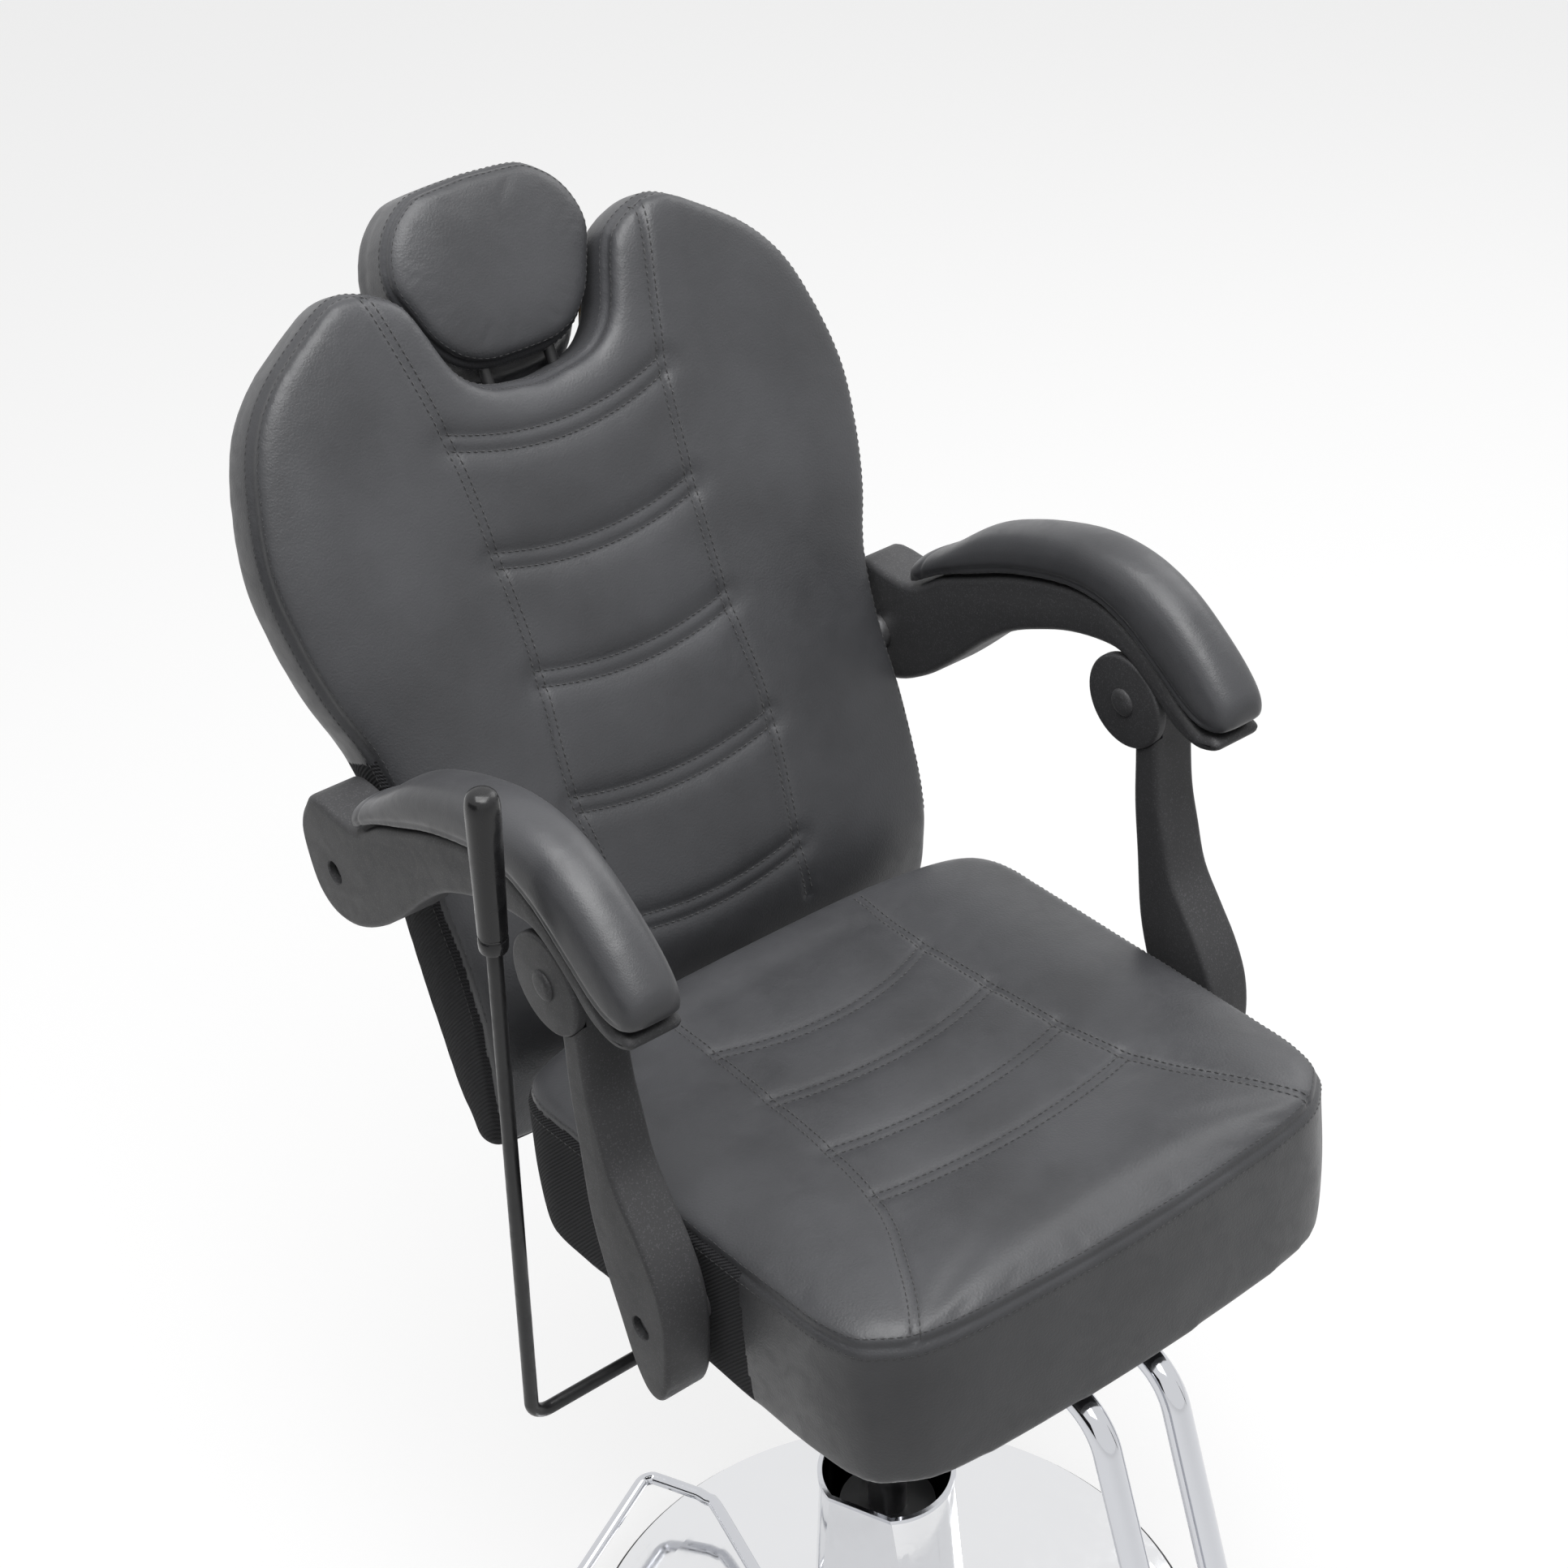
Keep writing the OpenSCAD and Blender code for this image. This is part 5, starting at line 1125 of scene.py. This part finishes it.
def arm_button(side, label):
    """The two domed ends of the knuckle bolt."""
    inner = [(-0.003, 0.004), (-0.0028, 0.008), (-0.0016, 0.0108), (-0.0004, 0.0115), (0.0002, 0.0115),
        (0.0002, 0.005)]
    dome = [(-0.0002, 0.005), (-0.0002, 0.0115), (0.0008, 0.0115), (0.0020, 0.0107), (0.0028, 0.0080),
        (0.003, 0.004)]
    rows = [(ARM_IN + x, r) for x, r in inner] + [(ARM_OUT + x, r) for x, r in dome]
    knob = turned_x("knuckle_button_" + label, rows, KNUCKLE, side, 48)
    smooth(knob, 40)
    give(knob, "nylon")
    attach(knob, NODE_BODY["knuckle_bolt_" + label])
    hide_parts("knuckle_bolt_" + label)


def pad_side(look, side, label):
    """One arm pad: a crowned soft form with a seam along both lower edges and a crease across it near its
    rear.
    """
    stations = refine(PAD_STATIONS, 4)
    low = PIVOT_REAR[1] + GAP
    rings = [[(side * (PAD_IN + PAD_W * (0.5 + (a - 0.5) * wide)), PIVOT_REAR[0] + y * ARM_REACH,
        low + (foot + (high - foot) * b) * ARM_REACH) for a, b in refine(PAD_SECTION, 3)]
        for y, foot, high, wide in stations]
    item = evened(ringed("arm_pad_cover_" + label, rings), 0.0036, 5)
    place = points_of(item)
    rows = PIVOT_REAR[0] + stations[:, 0] * ARM_REACH
    floor = np.interp(place[:, 1], rows[::-1], (low + stations[:, 1] * ARM_REACH)[::-1])
    rise = np.clip((place[:, 2] - floor - 0.004) / 0.02, 0, 1)
    mid = np.clip(1 - np.abs(np.abs(place[:, 0]) - PAD_IN - PAD_W / 2) / (0.7 * PAD_W), 0, 1)
    swell(item, look, 1 - rise * mid, 0.004)
    subdivided(item)
    place = points_of(item)
    high = low + (stations[:, 1] + 0.16 * (stations[:, 2] - stations[:, 1])) * ARM_REACH
    edges = [side * (PAD_IN + PAD_W * share) for share in (0.012, 0.988)]
    seams = [np.stack([np.full(len(rows), x), rows, high], 1) for x in edges]
    heel = np.abs(place[:, 1] - (PIVOT_REAR[0] - 0.20 * ARM_REACH))
    press_in(item, dip(nearest_of(place, seams), 0.0014, 0.0024) + dip(heel, 0.0008, 0.0024))
    smooth(item, 60)
    give(item, "pad leather")
    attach(item, "armrest_" + label)
    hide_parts("arm_pad_" + label)


class CHAIR_OT_arms(bpy.types.Operator):
    """Mould both arms: rail, strut, knuckle buttons and the soft pad on top"""
    bl_idname = "chair.arms"
    bl_label = "Arms"

    def execute(self, context):
        look = context.scene.chair_look
        for side, label in ((-1, "right"), (1, "left")):
            arm_rail(side, label)
            arm_strut(side, label)
            arm_button(side, label)
            pad_side(look, side, label)
        return {"FINISHED"}


# Metalwork and mechanism

FOOT_X = 0.034
FOOT_D = 0.022
FOOT_CORNER_Y = -0.296
FOOT_BEND_R = 0.045
FOOT_FALL = math.radians(71)
FOOT_BAR_Z = 0.270
TUBE_Z = 0.610
TUBE_START_Y = -0.075
PEDAL_TURN = math.radians(117.1)
PEDAL_Z = 0.060
PEDAL_D = 0.012
PEDAL_PIN = 0.053
PEDAL_ROUTE = [(0.131, 0.0), (0.208, 0.0625), (0.220, 0.0678), (0.232, 0.071), (0.277, 0.071),
    (0.283, 0.0694), (0.2874, 0.065), (0.289, 0.059), (0.289, 0.0)]
LEVER_Y = 0.027
LEVER_Z = 0.535
LEVER_X = 0.318
LEVER_LEAN = math.radians(4)
LEVER_RISE = 0.607
GRIP_L = 0.132
NODE_BODY = {name: item["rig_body"] for name, item in NODES.items()}
NODE_FINISH = {
    # The headrest posts take black paint, a finish such posts can have, chosen so that the gap between
    # headrest and back reads as dark as its shade: painted shade.
    "black_paint": ["base_plate", "gland_collar", "swivel_socket", "mechanism_frame", "lever_rod",
        "hinge_arms", "pump_body", "headrest_posts"],
    "chrome": ["pump_rim", "piston_rod", "recline_shaft", "foot_bar"],
    # The base and pump covers take the brighter chrome, a painted reflection.
    "cover chrome": ["base_cover", "pump_cover"],
    "steel": ["pump_bolts", "pump_neck", "pedal_bracket", "pedal_pin", "seat_bolts", "strut_mounts",
        "strut_bolts", "lever_bushes", "pawl_arm", "ratchet_quadrant", "back_bolts", "arm_mounts",
        "arm_bolts", "headrest_guide", "headrest_plate"],
    "plywood": ["seat_board", "back_board"],
    "dust_cloth": ["seat_dust_cover"],
    "rubber": ["base_ring", "foot_sleeves", "foot_caps"],
}


def bent_rod(name, route, thick, closed=False, radius_steps=8):
    """A round rod swept along a smooth route, as a closed mesh."""
    curve = bpy.data.curves.new(name, "CURVE")
    curve.dimensions = "3D"
    curve.bevel_depth = thick / 2
    curve.bevel_resolution = radius_steps
    curve.use_fill_caps = True
    line = curve.splines.new("POLY")
    line.points.add(len(route) - 1)
    for point, place in zip(line.points, route):
        point.co = (*place, 1)
    line.use_cyclic_u = closed
    item = bpy.data.objects.new(name, curve)
    bpy.context.scene.collection.objects.link(item)
    pick(item)
    bpy.ops.object.convert(target="MESH")
    item = bpy.context.object
    tidy_mesh(item)
    return item


def foot_route():
    tangent = FOOT_BEND_R * math.tan(FOOT_FALL / 2)
    route = [(TUBE_START_Y, TUBE_Z)]
    for i in range(25):
        a = math.pi / 2 + FOOT_FALL * i / 24
        route.append((FOOT_CORNER_Y + tangent + FOOT_BEND_R * math.cos(a),
            TUBE_Z - FOOT_BEND_R + FOOT_BEND_R * math.sin(a)))
    bar_y = FOOT_CORNER_Y - (TUBE_Z - FOOT_BAR_Z) / math.tan(FOOT_FALL)
    return route + [(bar_y, FOOT_BAR_Z)]


def merged(items, name):
    deselect()
    for item in items:
        item.select_set(True)
    bpy.context.view_layer.objects.active = items[0]
    bpy.ops.object.join()
    items[0].name = name
    items[0].data.name = name
    return items[0]


class CHAIR_OT_metal(bpy.types.Operator):
    """Bend the footrest tubes and the pedal loop, and finish the rigid frame parts"""
    bl_idname = "chair.metal"
    bl_label = "Metalwork"

    def execute(self, context):
        for name, members in NODE_FINISH.items():
            for member in members:
                held = NODES[member].data.materials
                held.clear()
                held.append(FINISHES[name])
        bent = [bent_rod("tube", [(x, y, z) for y, z in foot_route()], FOOT_D) for x in (-FOOT_X, FOOT_X)]
        tubes = merged(bent, "footrest_frame")
        smooth(tubes, 50)
        give(tubes, "chrome")
        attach(tubes, "seat")
        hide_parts("footrest_tubes")

        half = spline(PEDAL_ROUTE[:4], 24)[:-1].tolist() + spline(PEDAL_ROUTE[3:8], 30).tolist()
        loop = half + [(a, -b) for a, b in reversed(half[1:])]
        turn = Matrix.Translation((0, 0, PEDAL_Z)) @ Matrix.Rotation(PEDAL_TURN, 4, "Z")
        place = [turn @ Vector((a, b, 0)) for a, b in loop]
        stem = [turn @ Vector((PEDAL_PIN + t * (0.137 - PEDAL_PIN), 0, 0)) for t in (0.1, 0.5, 1)]
        rows = [(-0.00775, 0.0042), (-0.00775, 0.0082), (-0.0070, 0.009), (0.0070, 0.009), (0.00775, 0.0082),
            (0.00775, 0.0042)]
        points = [turn @ Vector((PEDAL_PIN + r * c, y, r * s)) for y, r in rows for c, s in circle(40)]
        hub = mesh_object("hub", points, ring_faces(len(rows), 40, wrap=True))
        pedal = merged([bent_rod("loop", place, PEDAL_D, closed=True), bent_rod("stem", stem, PEDAL_D), hub],
            "pedal_frame")
        smooth(pedal, 50)
        give(pedal, "chrome")
        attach(pedal, "pedal")
        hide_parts("pedal_loop")
        return {"FINISHED"}


class CHAIR_OT_lever(bpy.types.Operator):
    """Turn the grip of the recline lever, with its collar and domed top"""
    bl_idname = "chair.lever"
    bl_label = "Recline lever"

    def execute(self, context):
        axes = Matrix.Translation((0, LEVER_Y, LEVER_Z)) @ Matrix.Rotation(LEVER_LEAN, 4, "X") \
            @ Matrix.Translation((-LEVER_X, 0, LEVER_RISE - GRIP_L))
        rows = [(0.0, 0.0058), (0.0, 0.0090), (0.0015, 0.0102), (0.0095, 0.0104), (0.0105, 0.0096),
            (0.0125, 0.0096), (0.0135, 0.0103), (0.040, 0.0108), (0.085, 0.0116), (0.112, 0.0120),
            (0.122, 0.0117), (0.128, 0.0102), (0.1307, 0.0076), (0.1318, 0.0042), (0.1320, 0.0006)]
        fine = [(h, r) for h, r in refine(rows[:7], 2)] + [(h, r) for h, r in refine(rows[6:], 5)[1:]]
        rings = [[axes @ Vector((r * c, r * s, h)) for c, s in circle(48)] for h, r in fine]
        grip = ringed("lever_handle", rings)
        smooth(grip, 40)
        give(grip, "grip_plastic")
        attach(grip, "lever")
        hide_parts("lever_grip")
        return {"FINISHED"}


# Studio

FOCAL_PX = 3529.4
PHOTO_PX = 1932


def look_through():
    """Place the camera at the photograph's view."""
    turn, fall, roll = math.radians(-35.637), math.radians(34.898), math.radians(-2.930)
    back = Vector((math.sin(turn) * math.cos(fall), -math.cos(turn) * math.cos(fall), math.sin(fall)))
    right = (-back).cross(Vector((0, 0, 1))).normalized()
    up = right.cross(-back)
    across = right * math.cos(roll) + up * math.sin(roll)
    above = up * math.cos(roll) - right * math.sin(roll)
    data = bpy.data.cameras.new("camera")
    data.sensor_width = 36
    data.sensor_fit = "HORIZONTAL"
    data.lens = FOCAL_PX / PHOTO_PX * data.sensor_width
    data.clip_end = 60
    item = bpy.data.objects.new("camera", data)
    bpy.context.scene.collection.objects.link(item)
    axes = Matrix((across, above, back)).transposed().to_4x4()
    axes.translation = Vector((-1.02865, -1.33505, 2.17110))
    item.matrix_world = axes
    bpy.context.scene.camera = item


def lamp(name, place, aim, size, power):
    data = bpy.data.lights.new(name, "AREA")
    data.shape = "SQUARE"
    data.size = size
    data.energy = power
    item = bpy.data.objects.new(name, data)
    bpy.context.scene.collection.objects.link(item)
    item.matrix_world = Matrix.Translation(place) @ (Vector(aim) - Vector(place)).to_track_quat("-Z", "Y") \
        .to_matrix().to_4x4()


class CHAIR_OT_studio(bpy.types.Operator):
    """Set up the pale floor, the soft lamps, the white surroundings and the camera"""
    bl_idname = "chair.studio"
    bl_label = "Studio"

    def execute(self, context):
        look_through()
        scene = context.scene
        scene.view_settings.view_transform = "Standard"
        deselect()
        bpy.ops.mesh.primitive_circle_add(vertices=96, radius=9, fill_type="NGON")
        floor = context.object
        floor.name = "floor"
        made, tree, shader, place = finish_of("floor", (0.27, 0.27, 0.27), roughness=0.8, specular=0.2)
        path = node(tree, "ShaderNodeLightPath").outputs
        shader.inputs["Emission Color"].default_value = (1, 1, 1, 1)
        seen = maths(tree, "MAXIMUM", path["Is Camera Ray"], path["Is Glossy Ray"])
        tree.links.new(maths(tree, "MULTIPLY", seen, 0.76), shader.inputs["Emission Strength"])
        floor.data.materials.append(made)
        world = bpy.data.worlds.new("surroundings")
        scene.world = world
        world.use_nodes = True
        tree = world.node_tree
        path = node(tree, "ShaderNodeLightPath").outputs
        shown = tree.nodes["Background"].inputs
        shown["Color"].default_value = (1, 1, 1, 1)
        seen = maths(tree, "MAXIMUM", path["Is Camera Ray"], path["Is Transmission Ray"])
        seen = maths(tree, "MAXIMUM", seen, path["Is Glossy Ray"])
        tree.links.new(spread(tree, seen, 0.06, 1.0), shown["Strength"])
        lamp("overhead", (-0.3, -0.3, 3.7), (0, 0, 0.6), 2.6, 122)
        lamp("front", (-0.6, -1.4, 3.6), (0, 0, 0.9), 1.8, 30)
        lamp("side", (2.7, 0.4, 2.9), (0, 0, 0.8), 2.0, 34)
        for name, place, turn in (("left flag", (-2.9, 0.4, 0.9), 0.1),
                ("right flag", (2.4, -2.4, 0.7), 0.8)):
            deselect()
            bpy.ops.mesh.primitive_plane_add(size=1)
            card = context.object
            card.name = name.replace(" ", "_")
            card.data.transform(Matrix.Translation(place) @ Matrix.Rotation(turn, 4, "Z")
                @ Matrix.Rotation(math.pi / 2, 4, "Y") @ Matrix.Diagonal((1.1, 3.2, 1, 1)))
            card.data.materials.append(finish_of(name, (0.02, 0.02, 0.02), roughness=0.9, specular=0.0)[0])
            card.visible_camera = card.visible_diffuse = card.visible_shadow = False
        return {"FINISHED"}


class CHAIR_PT_panel(bpy.types.Panel):
    """Lists the chair's pieces and its look"""
    bl_idname = "CHAIR_PT_panel"
    bl_label = "Barber chair"
    bl_space_type = "VIEW_3D"
    bl_region_type = "UI"
    bl_category = "Chair"

    def draw(self, context):
        for piece in PIECES:
            self.layout.operator(piece.bl_idname)
        for name in ("leather", "nylon", "chrome", "covers", "voxel", "pressure", "stitch", "frames"):
            self.layout.prop(context.scene.chair_look, name)


PIECES = (CHAIR_OT_studio, CHAIR_OT_metal, CHAIR_OT_lever, CHAIR_OT_arms, CHAIR_OT_seat, CHAIR_OT_back,
    CHAIR_OT_headrest)
CLASSES = (ChairLook, *PIECES, CHAIR_PT_panel)


def register():
    for item in CLASSES:
        bpy.utils.register_class(item)
    bpy.types.Scene.chair_look = PointerProperty(type=ChairLook)


def unregister():
    del bpy.types.Scene.chair_look
    for item in reversed(CLASSES):
        bpy.utils.unregister_class(item)


def plain(box):
    return [[float(v) for v in corner] for corner in box]


def main():
    register()
    FINISHES.update(make_finishes(bpy.context.scene.chair_look))
    bpy.ops.chair.studio()
    bpy.ops.chair.metal()
    bpy.ops.chair.lever()
    bpy.ops.chair.arms()
    bpy.ops.chair.seat()
    bpy.ops.chair.back()
    bpy.ops.chair.headrest()


if __name__ == "__main__":
    main()
